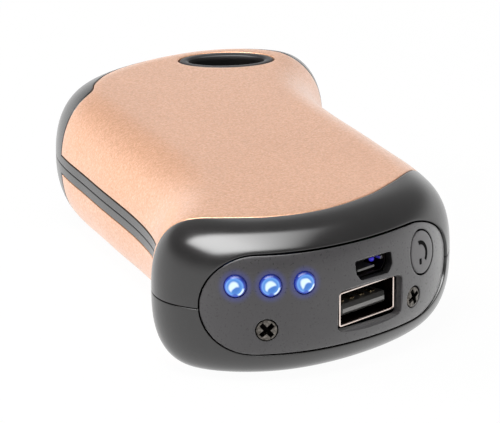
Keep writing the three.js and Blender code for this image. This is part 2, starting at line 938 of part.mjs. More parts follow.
function powerBoard() {
  const notch = rectangle(2 * (bossRadius + gap), 2 * halfThickness);
  const notches = screwPlaces.map((place) => onFace(notch, place, bossBack + gap, 0));
  return notches.reduce((body, cut) => body.subtract(cut), board(powerBoardFoot, powerBoardSkin));
}

function lightBoard() {
  return board(upperBoardFoot, upperBoardSkin)
    .subtract(rodOnFace(buttonFlangeRadius + gap, buttonPlace, flangeReach, 0));
}

add('power_board', powerBoard(), 'board');
add('light_board', lightBoard(), 'board');

function onBoard(size, height, shares) {
  const { x, y } = boardPlace(shares);
  return boxOf(size, size, height, x, y, powerBoardTop + gap);
}

add('coil', onBoard(coilSize, coilHeight, coilShares), 'ferrite');
add('control_chip', onBoard(controlSize, controlHeight, controlShares), 'chip');

// Cells, foam pads, heater films and the heat sensor

add('cell_front', plate(cellWidth, cellLength, cellCorner, cellHeight, cellMiddleY, gap / 2), 'pouch');
add('cell_back', plate(cellWidth, cellLength, cellCorner, cellHeight, cellMiddleY, -cellTop), 'pouch');

function layer(margin, skin, top, side) {
  const foot = side > 0 ? top - skin : -top;
  return plate(cellWidth - 2 * margin, cellLength - 2 * margin, cellCorner, skin, cellMiddleY, foot);
}

add('foam_pad_front', layer(padMargin, padSkin, padTop, 1), 'foam');
add('foam_pad_back', layer(padMargin, padSkin, padTop, -1), 'foam');
add('heater_film_front', layer(filmMargin, filmSkin, filmTop, 1), 'film');
add('heater_film_back', layer(filmMargin, filmSkin, filmTop, -1), 'film');

add(
  'heat_sensor',
  moved(
    new THREE.CylinderGeometry(sensorRadius, sensorRadius, sensorLength, smallCircleSteps).rotateZ(Math.PI / 2),
    (sensorShare * cellWidth) / 2,
    cellFront + padMargin - gap - sensorRadius,
    filmTop - filmSkin - gap - sensorRadius,
  ),
  'black',
);

// Leads

const leadNames = ['cell_lead_plus', 'cell_lead_minus'];
leadNames.forEach((name, i) => {
  const x = (leadShare * cellWidth) / 2 + i * leadPitch;
  const start = [x, cellFront - gap, -cellHeight / 3];
  const middle = [x, (cellFront + leadEnd) / 2, -cellHeight / 3];
  const end = [x, leadEnd, powerBoardTop + gap + leadRadius];
  add(name, lead(leadRadius, [start, middle, end]), i === 0 ? 'red' : 'black');
});

function heaterLead(side) {
  const start = [side * heaterLeadX, cellFront + filmMargin - gap, side * (padTop - heaterLeadRadius / 2)];
  const middle = [side * heaterLeadX, (cellFront + boardRear) / 2, side * (cellTop + heaterLeadRadius)];
  const upper = upperBoardTop + gap + heaterLeadRadius;
  const lower = powerBoardFoot - gap - heaterLeadRadius;
  return lead(heaterLeadRadius, [start, middle, [side * heaterLeadX, leadEnd, side > 0 ? upper : lower]]);
}

add('heater_lead_front', heaterLead(1), 'white');
add('heater_lead_back', heaterLead(-1), 'white');

export default handWarmer;
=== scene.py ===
"""A rechargeable hand warmer on a pale floor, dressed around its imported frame.

Lengths are in millimetres and become metres when a piece is finished. The body lies on its back:
+Y runs from the socket end to the lanyard end, +X across, +Z up, and heights are measured from the
joint plane halfway up the body.
"""

import json
import math

import bmesh
import bpy
from mathutils import Matrix, Vector
from mathutils.geometry import interpolate_bezier
from mathutils.kdtree import KDTree


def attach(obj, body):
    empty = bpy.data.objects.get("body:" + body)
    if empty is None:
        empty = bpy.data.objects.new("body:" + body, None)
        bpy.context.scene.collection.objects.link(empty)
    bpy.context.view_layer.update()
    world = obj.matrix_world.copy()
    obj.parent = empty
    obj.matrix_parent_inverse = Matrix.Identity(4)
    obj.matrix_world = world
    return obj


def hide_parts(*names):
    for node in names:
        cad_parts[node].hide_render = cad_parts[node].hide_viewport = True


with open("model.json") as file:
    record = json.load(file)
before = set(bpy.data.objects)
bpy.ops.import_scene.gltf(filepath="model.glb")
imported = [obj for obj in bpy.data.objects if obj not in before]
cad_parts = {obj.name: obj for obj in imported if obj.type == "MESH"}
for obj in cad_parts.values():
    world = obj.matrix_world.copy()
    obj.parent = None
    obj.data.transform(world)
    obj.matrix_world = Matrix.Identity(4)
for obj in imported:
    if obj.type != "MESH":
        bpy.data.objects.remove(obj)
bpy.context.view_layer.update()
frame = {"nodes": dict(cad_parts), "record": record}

MM = 0.001

# Driving sizes of the body
BODY_LENGTH = 122.1
BODY_WIDTH = 61.2
BODY_THICKNESS = 24.4
EDGE_REACH = 9.3
BAND_HEIGHT = 3.6
PANEL_SKIN = 1.0
SHELL_WALL = 2.4
GAP = 0.3
PANEL_SEAM = 0.2
JOINT_SEAM = 0.12
PANEL_EDGE_RADIUS = 0.16
SHELL_EDGE_RADIUS = 0.14

HALF_LENGTH = BODY_LENGTH / 2
HALF_WIDTH = BODY_WIDTH / 2
HALF_THICKNESS = BODY_THICKNESS / 2

# The body's outline seen from above: one half, and the other half is it turned half round
OUTLINE_SHARES = (
    (-1.07, -0.74), (-0.935, -0.925), (-0.37, -1.045), (0.385, -0.89),
    (0.83, -0.645), (0.78, -0.26), (0.785, -0.115), (0.71, 0.48),
)
OUTLINE_STEPS = 128

# How square the edge rounding is, along the body and at the socket end
SIDE_POWER = 2.3
END_POWER = 2.7
POWER_RISE_SHARES = (-0.45, -0.8)

# The gold panels' ends, seen from above, as shares of the half width and half length
NEAR_EDGE_SHARES = (
    (-1.2, -0.67), (-0.95, -0.727), (-0.78, -0.776), (-0.53, -0.82), (-0.38, -0.834),
    (-0.21, -0.828), (-0.02, -0.797), (0.2, -0.731), (0.38, -0.65), (0.51, -0.58),
    (0.68, -0.47), (0.95, -0.3),
)
FAR_EDGE_SHARES = (
    (-1.1, 0.44), (-0.8, 0.478), (-0.64, 0.512), (-0.56, 0.548), (-0.5, 0.62), (-0.36, 0.722),
    (-0.17, 0.803), (0.1, 0.872), (0.36, 0.893), (0.58, 0.868), (0.73, 0.8), (0.82, 0.73),
    (0.92, 0.7), (1.2, 0.683),
)

# Port plate, and places on it as shares of its half length and half height
PLATE_MIDDLE_SHARE = 0.1265
PLATE_LENGTH = 52.6
PLATE_HEIGHT = 16.1
PLATE_RISE = 0.55
PLATE_SKIN = 1.4
PLATE_SEAM = 0.26
PLATE_SINK = 0.1
PLATE_EDGE_RADIUS = 0.15
PLATE_LEFT_END = 9.1
PLATE_RIGHT_END = 12.0
PLATE_COLUMNS = 132
PLATE_ROWS = 40
PLATE_END_SHARE = 0.985
PLATE_DIP = 0.36
PLATE_DIP_FROM_SHARE = 0.3
HOLE_LIP = 0.14
HOLE_DEPTH = 3.0

# Status lights
FIRST_LIGHT_SHARES = (-0.781, 0.43)
LIGHT_PITCH = 5.57
LIGHT_COUNT = 3
LENS_RADIUS = 1.75
LENS_DOME = 0.75
LENS_SINK = 0.3
LENS_DEPTH = 3.8
LENS_GAP = 0.08

# The lights' blue painted on the plate round them as a glow: how far it reaches, and how bright it starts
GLOW_REACH = 3.1
PAINTED_GLOW_START = 0.2

# Fixing screws
SCREW_SHARES = ((-0.594, -0.466), (0.522, -0.455))
SCREW_HEAD_RADIUS = 1.65
SCREW_HEAD_HEIGHT = 1.0
SCREW_SINK = 0.4
SCREW_SHANK_RADIUS = 1.0
SCREW_SHANK = 5.0
SCREW_GAP = 0.2
SCREW_CROWN = 0.22
CROSS_ARM = 2.5
CROSS_WIDTH = 0.6
CROSS_DEPTH = 0.9
CROSS_TAPER = 0.1
CROSS_TURNS = (math.radians(42), math.radians(25))

# Outlet socket; both sockets are turned a little about the vertical from square on to the plate
SOCKET_TURN = math.radians(4.6)
USB_SHARES = (0.137, -0.261)
USB_WIDTH = 13.1
USB_HEIGHT = 5.7
USB_SHEET = 0.35
USB_SINK = 1.35
USB_LENGTH = 13.5
USB_CORNER = 0.5
TONGUE_WIDTH = 11.0
TONGUE_HEIGHT = 1.8
TONGUE_SINK = 0.8
TONGUE_DROP = 0.7
TONGUE_CHAMFER = 0.58
CONTACT_WIDTH = 1.0
CONTACT_HEIGHT = 0.25
CONTACT_PITCH = 2.4
CONTACT_SINK = 1.3
CONTACT_COUNT = 4
CONTACT_NOSE = 0.08
CONTACT_GAP = 0.03
OUTLET_DROP = 0.4
OUTLET_CORNER = 0.9
BLOCK_LENGTH = 3.0

# Charging socket
MICRO_SHIFT = 0.6
MICRO_LIFT = 1.45
MICRO_WIDTH = 7.6
MICRO_FOOT = 5.8
MICRO_HEIGHT = 2.9
MICRO_SHEET = 0.3
MICRO_SINK = 1.45
MICRO_LENGTH = 5.6
MICRO_CORNER = 0.35
MICRO_SHOULDER_SHARE = 0.25
MICRO_TONGUE_WIDTH = 4.0
MICRO_TONGUE_HEIGHT = 0.36
MICRO_TONGUE_SINK = 0.8
MICRO_BLOCK_LENGTH = 1.5
MICRO_TONGUE_DROP = 0.65
MICRO_TAB = 0.55
MICRO_TAB_PLACE = (3.1, 0.55)
# A small glowing bead in the inlet, a painted blue glint
BEAD_RADIUS = 0.42
BEAD_PLACE = (1.9, 0.35)
BEAD_SINK = 1.3

# Power button
BUTTON_SHARES = (0.63, 0.382)
BUTTON_RADIUS = 3.45
BUTTON_GAP = 0.3
BUTTON_DEPTH = 4.0
BUTTON_EDGE_RADIUS = 0.1
BUTTON_FLANGE_RADIUS = 3.8
BUTTON_FLANGE = 0.6
BUTTON_FLANGE_SINK = 4.35

# Power sign, as the button carries it: an open ring, with a short bar at its lower end
SIGN_MIDDLE = Vector((-0.75, -0.1))
SIGN_RADIUS = 1.85
SIGN_STROKE = 0.66
SIGN_RISE = 0.03
SIGN_START = math.radians(-42)
SIGN_TURN = math.radians(140)
SIGN_BAR = 1.0
SIGN_BAR_PLACE = (-0.15, -1.2, 0.0)

# Lanyard eyelet
EYELET_SHARES = (0.3889, 0.7437)
EYELET_TURN = -0.23
EYELET_LENGTH = 17.2
EYELET_BREADTH = 10.8
EYELET_OVERHANG = 1.0
EYELET_TUBE = 0.9
EYELET_FLANGE = 0.9
EYELET_MOUTH = 1.0
EYELET_STEPS = 96

# The part of the eyelet's mouth, from its rim, that keeps the satin finish
MOUTH_RIM_SHARE = 0.35

# Steps in a quarter of a dome or rim, and in other curves
DOME_STEPS = 8
BEZIER_STEPS = 24
JOINT_STEPS = 60
SEAT_STEPS = 220
ARC_STEPS = 32

# Tries at finding a place, and the least that the outline may seem to shrink while searching
FOOT_TRIES = 5
BORE_TRIES = 6
LEAST_STRETCH = 0.15

# Small distances: off the joint plane, between points made one, and round a second finish's faces
TINY = 0.0001
WELD = 0.002
SLACK = 0.02
NOSE_SLACK = 0.1

# How squarely a face has to look along a direction to count as facing it, as a cosine
SQUARELY = 0.9
HALFWAY = 0.5

# The values between which a noise texture mostly lies, and a pattern's whole range
NOISE_SPAN = (0.3, 0.7)
FULL_SPAN = (0.0, 1.0)


# The body's surface

def spline_point(points, span, f):
    """A point, and the direction, of the closed uniform cubic spline that the points pull."""
    weights = ((1 - f) ** 3 / 6, (3 * f ** 3 - 6 * f ** 2 + 4) / 6,
               (-3 * f ** 3 + 3 * f ** 2 + 3 * f + 1) / 6, f ** 3 / 6)
    slopes = (-(1 - f) ** 2 / 2, (3 * f ** 2 - 4 * f) / 2, (-3 * f ** 2 + 2 * f + 1) / 2, f ** 2 / 2)
    near = [points[(span + k - 1) % len(points)] for k in range(4)]
    point = sum((p * w for p, w in zip(near, weights)), Vector((0, 0)))
    along = sum((p * w for p, w in zip(near, slopes)), Vector((0, 0)))
    return point, along.normalized()


def body_outline():
    half = [Vector((x * HALF_WIDTH, y * HALF_LENGTH)) for x, y in OUTLINE_SHARES]
    points = half + [-point for point in half]
    return [spline_point(points, span, step / OUTLINE_STEPS)
            for span in range(len(points)) for step in range(OUTLINE_STEPS)]


OUTLINE = body_outline()
COUNT = len(OUTLINE)
REACHED = [0.0]
for here in range(COUNT):
    REACHED.append(REACHED[-1] + (OUTLINE[(here + 1) % COUNT][0] - OUTLINE[here][0]).length)
OUTLINE_LENGTH = REACHED[-1]

TREE = KDTree(COUNT)
for here, (point, _) in enumerate(OUTLINE):
    TREE.insert(point.to_3d(), here)
TREE.balance()


def outline_at(place):
    """Point, direction and outward normal at a place, a decimal index on the outline."""
    first = math.floor(place)
    f = place - first
    point, along = OUTLINE[first % COUNT]
    next_point, next_along = OUTLINE[(first + 1) % COUNT]
    along = along.lerp(next_along, f).normalized()
    return point.lerp(next_point, f), along, Vector((along.y, -along.x))


def place_at(distance):
    """The place on the outline that is a distance along it from its start."""
    distance %= OUTLINE_LENGTH
    low, high = 0, COUNT
    while high - low > 1:
        middle = (low + high) // 2
        if REACHED[middle] <= distance:
            low = middle
        else:
            high = middle
    return low + (distance - REACHED[low]) / (REACHED[low + 1] - REACHED[low])


def foot(plan):
    """The place on the outline nearest to a point of the plan, and how far outside it the point is."""
    place = float(TREE.find(plan.to_3d())[1])
    for _ in range(FOOT_TRIES):
        point, along, outward = outline_at(place)
        spacing = REACHED[math.floor(place) % COUNT + 1] - REACHED[math.floor(place) % COUNT]
        turn = outline_at(place + 0.5)[1].angle_signed(outline_at(place - 0.5)[1])
        offset = plan - point
        stretch = max(1 + offset.dot(outward) * turn / spacing, LEAST_STRETCH)
        place += max(min(offset.dot(along) / spacing / stretch, 1.0), -1.0)
    point, along, outward = outline_at(place)
    return place, (plan - point).dot(outward)


def edge_power(y):
    start, full = POWER_RISE_SHARES
    share = min(max((start - y / HALF_LENGTH) / (start - full), 0), 1)
    return SIDE_POWER + (END_POWER - SIDE_POWER) * share * share * (3 - 2 * share)


def rounding(place, angle):
    """How far in and how high the edge rounding is at an angle above the joint plane."""
    power = edge_power(outline_at(place)[0].y)
    c, s = abs(math.cos(angle)), abs(math.sin(angle))
    size = (c ** power + s ** power) ** (1 / power)
    return c / size, s / size, power


def angle_at(place, z):
    """The angle of the edge rounding at a height."""
    power = edge_power(outline_at(place)[0].y)
    s = min(abs(z) / HALF_THICKNESS, 1)
    return math.copysign(math.atan2(s, (1 - s ** power) ** (1 / power)), z)


def angle_inside(place, inset):
    """The angle of the edge rounding at a distance inside the outline."""
    power = edge_power(outline_at(place)[0].y)
    c = max(1 - inset / EDGE_REACH, 0)
    return math.atan2((1 - c ** power) ** (1 / power), c)


def on_edge(place, angle, depth=0.0):
    """A point of the edge rounding, sunk below the surface by a depth."""
    point, _, outward = outline_at(place)
    c, s, power = rounding(place, angle)
    sign = math.copysign(1, angle)
    flat = point - outward * EDGE_REACH * (1 - c)
    lean = c ** (power - 1) / EDGE_REACH
    normal = Vector((*(outward * lean), sign * s ** (power - 1) / HALF_THICKNESS)).normalized()
    return Vector((*flat, sign * HALF_THICKNESS * s)) - normal * depth


# The surface is also drawn unrolled: flat in the middle, with the rounding laid out round it

def unroll(place, angle):
    point, _, outward = outline_at(place)
    return point + outward * EDGE_REACH * (math.pi / 2 - abs(angle) - 1)


def on_body(unrolled, side, depth=0.0):
    """The point of the body's front (side 1) or back (side -1) that an unrolled point rolls onto."""
    place, outside = foot(unrolled)
    angle = math.pi / 2 - (outside + EDGE_REACH) / EDGE_REACH
    if angle >= math.pi / 2:
        return Vector((*unrolled, side * (HALF_THICKNESS - depth)))
    return on_edge(place, side * max(angle, TINY), depth)


def on_face(along, z, depth=0.0):
    """A point of the socket face, by distance along it from the port plate's middle and by height."""
    place = place_at(PLATE_MIDDLE_SHARE * OUTLINE_LENGTH + along)
    return on_edge(place, angle_at(place, z if abs(z) > TINY else TINY), depth)


def face_frame(along, z, turn=0.0):
    """X along the socket face, Y up, Z out of it, with the origin on the outline's wall."""
    point, tangent, outward = outline_at(place_at(PLATE_MIDDLE_SHARE * OUTLINE_LENGTH + along))
    square = Matrix(((tangent.x, 0, outward.x, point.x), (tangent.y, 0, outward.y, point.y),
                     (0, 1, 0, z), (0, 0, 0, 1)))
    return square @ Matrix.Rotation(turn, 4, "Y")


def in_scene(point):
    """A point in millimetres from the joint plane, in the scene's metres."""
    return (Vector(point) + Vector((0, 0, HALF_THICKNESS))) * MM


# Finishing a piece

def new_object(name, data):
    made = bpy.data.objects.new(name, data)
    bpy.context.scene.collection.objects.link(made)
    return made


def finish(bm, name, body="body", node=None, slot=None, smooth=35.0, look=None):
    """Turns a bmesh in millimetres from the joint plane into a piece of the scene."""
    layers = bm.verts.layers
    for kind in (layers.float_vector, layers.int):
        for key in kind.keys():
            kind.remove(kind[key])
    bmesh.ops.translate(bm, verts=bm.verts, vec=(0, 0, HALF_THICKNESS))
    bmesh.ops.scale(bm, verts=bm.verts, vec=(MM, MM, MM))
    mesh = bpy.data.meshes.new(name)
    bm.to_mesh(mesh)
    bm.free()
    mesh.shade_smooth()
    mesh.set_sharp_from_angle(angle=math.radians(smooth))
    mesh.materials.append(FINISHES[look or slot])
    piece = new_object(name, mesh)
    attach(piece, body)
    if node:
        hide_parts(node)
    return piece


def second_finish(piece, look, chosen):
    """Gives a second finish to the faces that are chosen by their middle and their normal."""
    piece.data.materials.append(FINISHES[look])
    for face in piece.data.polygons:
        if chosen(face.center, face.normal):
            face.material_index = 1


def loose(bm, name):
    """A throwaway object from a bmesh, for cutting with."""
    mesh = bpy.data.meshes.new(name)
    bmesh.ops.recalc_face_normals(bm, faces=bm.faces)
    bm.to_mesh(mesh)
    bm.free()
    return new_object(name, mesh)


def carved(bm, cutters):
    """The solid in a bmesh with each cutter's solid taken out of it, as a new bmesh."""
    body = loose(bm, "uncut")
    posts = [loose(cutter, "cutter") for cutter in cutters]
    for post in posts:
        modifier = body.modifiers.new("cut", "BOOLEAN")
        modifier.operation = "DIFFERENCE"
        modifier.solver = "MANIFOLD"
        modifier.object = post
    bpy.context.view_layer.update()
    whole = body.evaluated_get(bpy.context.evaluated_depsgraph_get())
    result = bmesh.new()
    result.from_mesh(whole.to_mesh())
    whole.to_mesh_clear()
    for done in [body, *posts]:
        bpy.data.objects.remove(done)
    return result


def joined(parts):
    """One bmesh from several, with the points that meet made one."""
    whole = bmesh.new()
    for part in parts:
        mesh = bpy.data.meshes.new("part")
        part.to_mesh(mesh)
        part.free()
        whole.from_mesh(mesh)
        bpy.data.meshes.remove(mesh)
    bmesh.ops.remove_doubles(whole, verts=whole.verts, dist=WELD)
    bmesh.ops.recalc_face_normals(whole, faces=whole.faces)
    return whole


def move_to(verts, where):
    for vert in verts:
        vert.co = where(vert)


def extruded(bm, edges, where):
    """Extrudes edges by one row of faces, moves the new points, and gives the new open edges."""
    new = bmesh.ops.extrude_edge_only(bm, edges=edges)["geom"]
    move_to([item for item in new if isinstance(item, bmesh.types.BMVert)], where)
    return [item for item in new if isinstance(item, bmesh.types.BMEdge) and item.is_boundary]


# Lofts: a flat shape, whose outline is grown and sunk row by row

def marked(bm):
    """Notes each point's flat place, and at the edge the way out of the outline there."""
    layers = bm.verts.layers.float_vector
    flat, lean, drawn = (layers.new(key) for key in ("flat", "lean", "drawn"))
    bmesh.ops.recalc_face_normals(bm, faces=bm.faces)
    if sum(face.normal.z for face in bm.faces) < 0:
        bmesh.ops.reverse_faces(bm, faces=bm.faces)
    sides = {}
    for edge in bm.edges:
        if edge.is_boundary:
            loop = edge.link_loops[0]
            along = (loop.link_loop_next.vert.co - loop.vert.co).normalized()
            for vert in edge.verts:
                sides.setdefault(vert, []).append(Vector((along.y, -along.x, 0)))
    for vert in bm.verts:
        vert[flat] = vert.co
        vert[drawn] = vert.co
    for vert, (one, two) in sides.items():
        vert[lean] = (one + two) / (1 + one.dot(two))
    return bm


def loft(bm, rows, where, capped=True):
    """Carries a marked flat shape through rows of growth and depth, and closes the last row."""
    flat, lean, drawn = (bm.verts.layers.float_vector[key] for key in ("flat", "lean", "drawn"))

    def placed(grow_by, depth):
        def spot(vert):
            at = vert[flat] + vert[lean] * grow_by
            vert[drawn] = (at.x, at.y, depth)
            return where(at.xy, depth)
        return spot

    edges = [edge for edge in bm.edges if edge.is_boundary]
    move_to(bm.verts, placed(*rows[0]))
    for grow_by, depth in rows[1:]:
        edges = extruded(bm, edges, placed(grow_by, depth))
    if capped:
        bmesh.ops.holes_fill(bm, edges=edges, sides=0)
    bmesh.ops.recalc_face_normals(bm, faces=bm.faces)
    return bm


def disc(radius, steps=72):
    bm = bmesh.new()
    bmesh.ops.create_circle(bm, cap_ends=True, segments=steps, radius=radius)
    return marked(bm)


def polygon(points, corner=0.0, steps=5):
    """A flat face through a few points, with its corners rounded."""
    bm = bmesh.new()
    bm.faces.new([bm.verts.new((x, y, 0)) for x, y in points])
    if corner:
        bmesh.ops.bevel(bm, geom=list(bm.verts), offset=corner, offset_type="OFFSET", segments=steps,
                        profile=0.5, affect="VERTICES", material=-1)
    return marked(bm)


def rectangle(width, height, corner=0.0, steps=5):
    x, y = width / 2, height / 2
    return polygon([(-x, -y), (x, -y), (x, y), (-x, y)], corner, steps)


def rounded_in(radius, depth=0.0, steps=4):
    """Rows of an outer edge rounded over, from the face to the wall."""
    angles = [math.pi / 2 * i / steps for i in range(steps + 1)]
    return [(radius * (math.sin(a) - 1), depth + radius * (1 - math.cos(a))) for a in angles]


def rounded_out(radius, depth=0.0, steps=4):
    """Rows of a hole's rounded lip, from the face to the wall."""
    angles = [math.pi / 2 * i / steps for i in range(steps + 1)]
    return [(radius * (1 - math.sin(a)), depth + radius * (1 - math.cos(a))) for a in angles]


def domed(radius, height, depth=0.0):
    """Rows of a dome, from near its top down to its foot at a depth."""
    angles = [math.pi / 2 * i / DOME_STEPS for i in range(1, DOME_STEPS + 1)]
    return [(radius * (math.sin(a) - 1), depth - height * math.cos(a)) for a in angles]


def drawn_from(where):
    """Where a way of drawing puts its middle, and its way out of the face."""
    middle = Vector((0, 0))
    return where(middle, 0), (where(middle, 0) - where(middle, 1)).normalized()


# Places on the socket face

def plate_place(shares):
    """Distance along the face and height, from shares of the plate's half length and half height."""
    return shares[0] * PLATE_LENGTH / 2, PLATE_RISE + shares[1] * PLATE_HEIGHT / 2


def plate_dip(along):
    """How much deeper the plate lies towards its right end."""
    share = max(along / (PLATE_LENGTH / 2) - PLATE_DIP_FROM_SHARE, 0) / (1 - PLATE_DIP_FROM_SHARE)
    return PLATE_DIP * share * share


def following(place):
    """Draws on the plate's own surface, which bends, round a place."""
    def spot(flat, depth):
        along = place[0] + flat.x
        return on_face(along, place[1] + flat.y, depth + plate_dip(along))
    return spot


def square_on(place):
    """Draws straight, square to the face at a place."""
    matrix = face_frame(*place)
    return lambda flat, depth: matrix @ Vector((flat.x, flat.y, -depth))


def bored(place):
    """Draws on the face, and sinks along a socket's own axis, round a place."""
    matrix = face_frame(*place)
    inverse = matrix.inverted()

    def spot(flat, depth):
        along, z = place[0] + flat.x, place[1] + flat.y
        for _ in range(BORE_TRIES):
            miss = flat - (inverse @ on_face(along, z)).xy
            along += miss.x
            z += miss.y
        return on_face(along, z) - matrix.col[2].xyz * (depth + plate_dip(along))
    return spot


def light_place(index):
    along, z = plate_place(FIRST_LIGHT_SHARES)
    return along + index * LIGHT_PITCH, z


def light_frame(index):
    """The foot of a status light's dome, square to the face."""
    return face_frame(*light_place(index)) @ Matrix.Translation((0, 0, -LENS_SINK))


# Finishes: each is a real material, read in the object's own coordinates

def linear(hex_colour):
    """The linear colour that an sRGB hex value stands for."""
    channels = [int(hex_colour[i:i + 2], 16) / 255 for i in (0, 2, 4)]
    curved = [c / 12.92 if c <= 0.04045 else ((c + 0.055) / 1.055) ** 2.4 for c in channels]
    return (*curved, 1.0)


def add(tree, kind, inputs=None, stops=(), **settings):
    """Adds a shader node; an input is a value or the output that feeds it, a stop a place and a colour."""
    made = tree.nodes.new("ShaderNode" + kind)
    for key, value in settings.items():
        setattr(made, key, value)
    for key, value in (inputs or {}).items():
        if isinstance(value, bpy.types.NodeSocket):
            tree.links.new(value, made.inputs[key])
        else:
            made.inputs[key].default_value = value
    for index, (place, colour) in enumerate(stops):
        elements = made.color_ramp.elements
        element = elements[index] if index < len(elements) else elements.new(1.0)
        element.position = place
        element.color = colour if isinstance(colour, tuple) else linear(colour)
    return made


def every(size):
    """The scale of a pattern that repeats about every so many millimetres."""
    return 1 / (size * MM)


def new_finish(name):
    """A bare material, its nodes, and the object's own coordinates to draw it in."""
    made = bpy.data.materials.new(name)
    made.use_nodes = True
    tree = made.node_tree
    tree.nodes.clear()
    return made, tree, add(tree, "TexCoord").outputs["Object"]


def surfaced(made, colour, pattern, roughness, height, relief, span=NOISE_SPAN, more=None):
    """Ends a material in its shader: its roughness follows a pattern, its relief is in millimetres."""
    tree = made.node_tree
    rough = add(tree, "MapRange", {"Value": pattern, "From Min": span[0], "From Max": span[1],
                                   "To Min": roughness[0], "To Max": roughness[1]})
    bump = add(tree, "Bump", {"Height": height, "Distance": relief * MM, "Strength": 1.0})
    shader = add(tree, "BsdfPrincipled", {
        "Base Color": colour,
        "Roughness": rough.outputs["Result"],
        "Normal": bump.outputs["Normal"],
        **(more or {}),
    })
    add(tree, "OutputMaterial", {"Surface": shader.outputs[0]})
    return made


def grained(tree, place, slow, fine, colours):
    """A fine grain, and a tone that drifts slowly between two colours and flickers with the grain."""
    drift = add(tree, "TexNoise", {"Vector": place, "Scale": every(slow[0]), "Detail": slow[1]})
    pores = add(tree, "TexNoise", {"Vector": place, "Scale": every(fine[0]), "Detail": fine[1]})
    mixed = add(tree, "Math", {0: drift.outputs["Fac"], 1: pores.outputs["Fac"]}, operation="ADD")
    tone = add(tree, "Math", {0: mixed.outputs[0], 1: 0.5}, operation="MULTIPLY")
    colour = add(tree, "ValToRGB", {"Fac": tone.outputs[0]}, stops=[(0.35, colours[0]), (0.65, colours[1])])
    return pores.outputs["Fac"], colour.outputs["Color"]


def moulded(name, colours, roughness, grain, relief, specular=0.5, nap=0.0):
    """A moulded plastic: a slow drift of tone between two colours, and the mould's grain as relief."""
    made, tree, place = new_finish(name)
    pores, colour = grained(tree, place, (14, 3.0), (grain, 2.0), colours)
    return surfaced(made, colour, pores, roughness, pores, relief, more={
        "IOR": 1.5,
        "Specular IOR Level": specular,
        "Sheen Weight": nap,
        "Sheen Roughness": 0.45,
    })


def metal(name, colours, roughness, streak, relief):
    """A metal: its fine grain shows in tone, in roughness and in relief."""
    made, tree, place = new_finish(name)
    grain = add(tree, "TexNoise", {"Vector": place, "Scale": every(streak), "Detail": 3.0}).outputs["Fac"]
    colour = add(tree, "ValToRGB", {"Fac": grain}, stops=[(0.3, colours[0]), (0.7, colours[1])])
    return surfaced(made, colour.outputs["Color"], grain, roughness, grain, relief, more={"Metallic": 1.0})


def gold_aluminium():
    """Bead-blasted aluminium under a clear rose gold film: a satin face whose fine pits sparkle."""
    made, tree, place = new_finish("anodised_aluminium_rose_gold")
    # The blasted pits are finer than a pixel and are drawn at about a quarter of a millimetre
    flakes = add(tree, "TexVoronoi", {"Vector": place, "Scale": every(0.26)})
    chance = add(tree, "SeparateColor", {"Color": flakes.outputs["Color"]})
    pits = add(tree, "TexNoise", {"Vector": place, "Scale": every(0.35), "Detail": 2.0}).outputs["Fac"]
    drift = add(tree, "TexNoise", {"Vector": place, "Scale": every(30), "Detail": 1.0}).outputs["Fac"]
    flecked = add(tree, "ValToRGB", {"Fac": chance.outputs["Red"]},
                  stops=[(0.0, "E4AA84"), (0.5, "F1B792"), (1.0, "FCC8A7")])
    slow = add(tree, "ValToRGB", {"Fac": drift}, stops=[(0.35, "FAF8F6"), (0.65, "FFFFFF")])
    colour = add(tree, "Mix", {0: 1.0, 6: flecked.outputs["Color"], 7: slow.outputs["Color"]},
                 data_type="RGBA", blend_type="MULTIPLY")
    return surfaced(made, colour.outputs[2], chance.outputs["Green"], (0.32, 0.46), pits, 0.012, FULL_SPAN, {
        "Metallic": 0.6,
        "Coat Weight": 0.6,
        "Coat Roughness": 0.2,
        "Coat IOR": 1.5,
    })


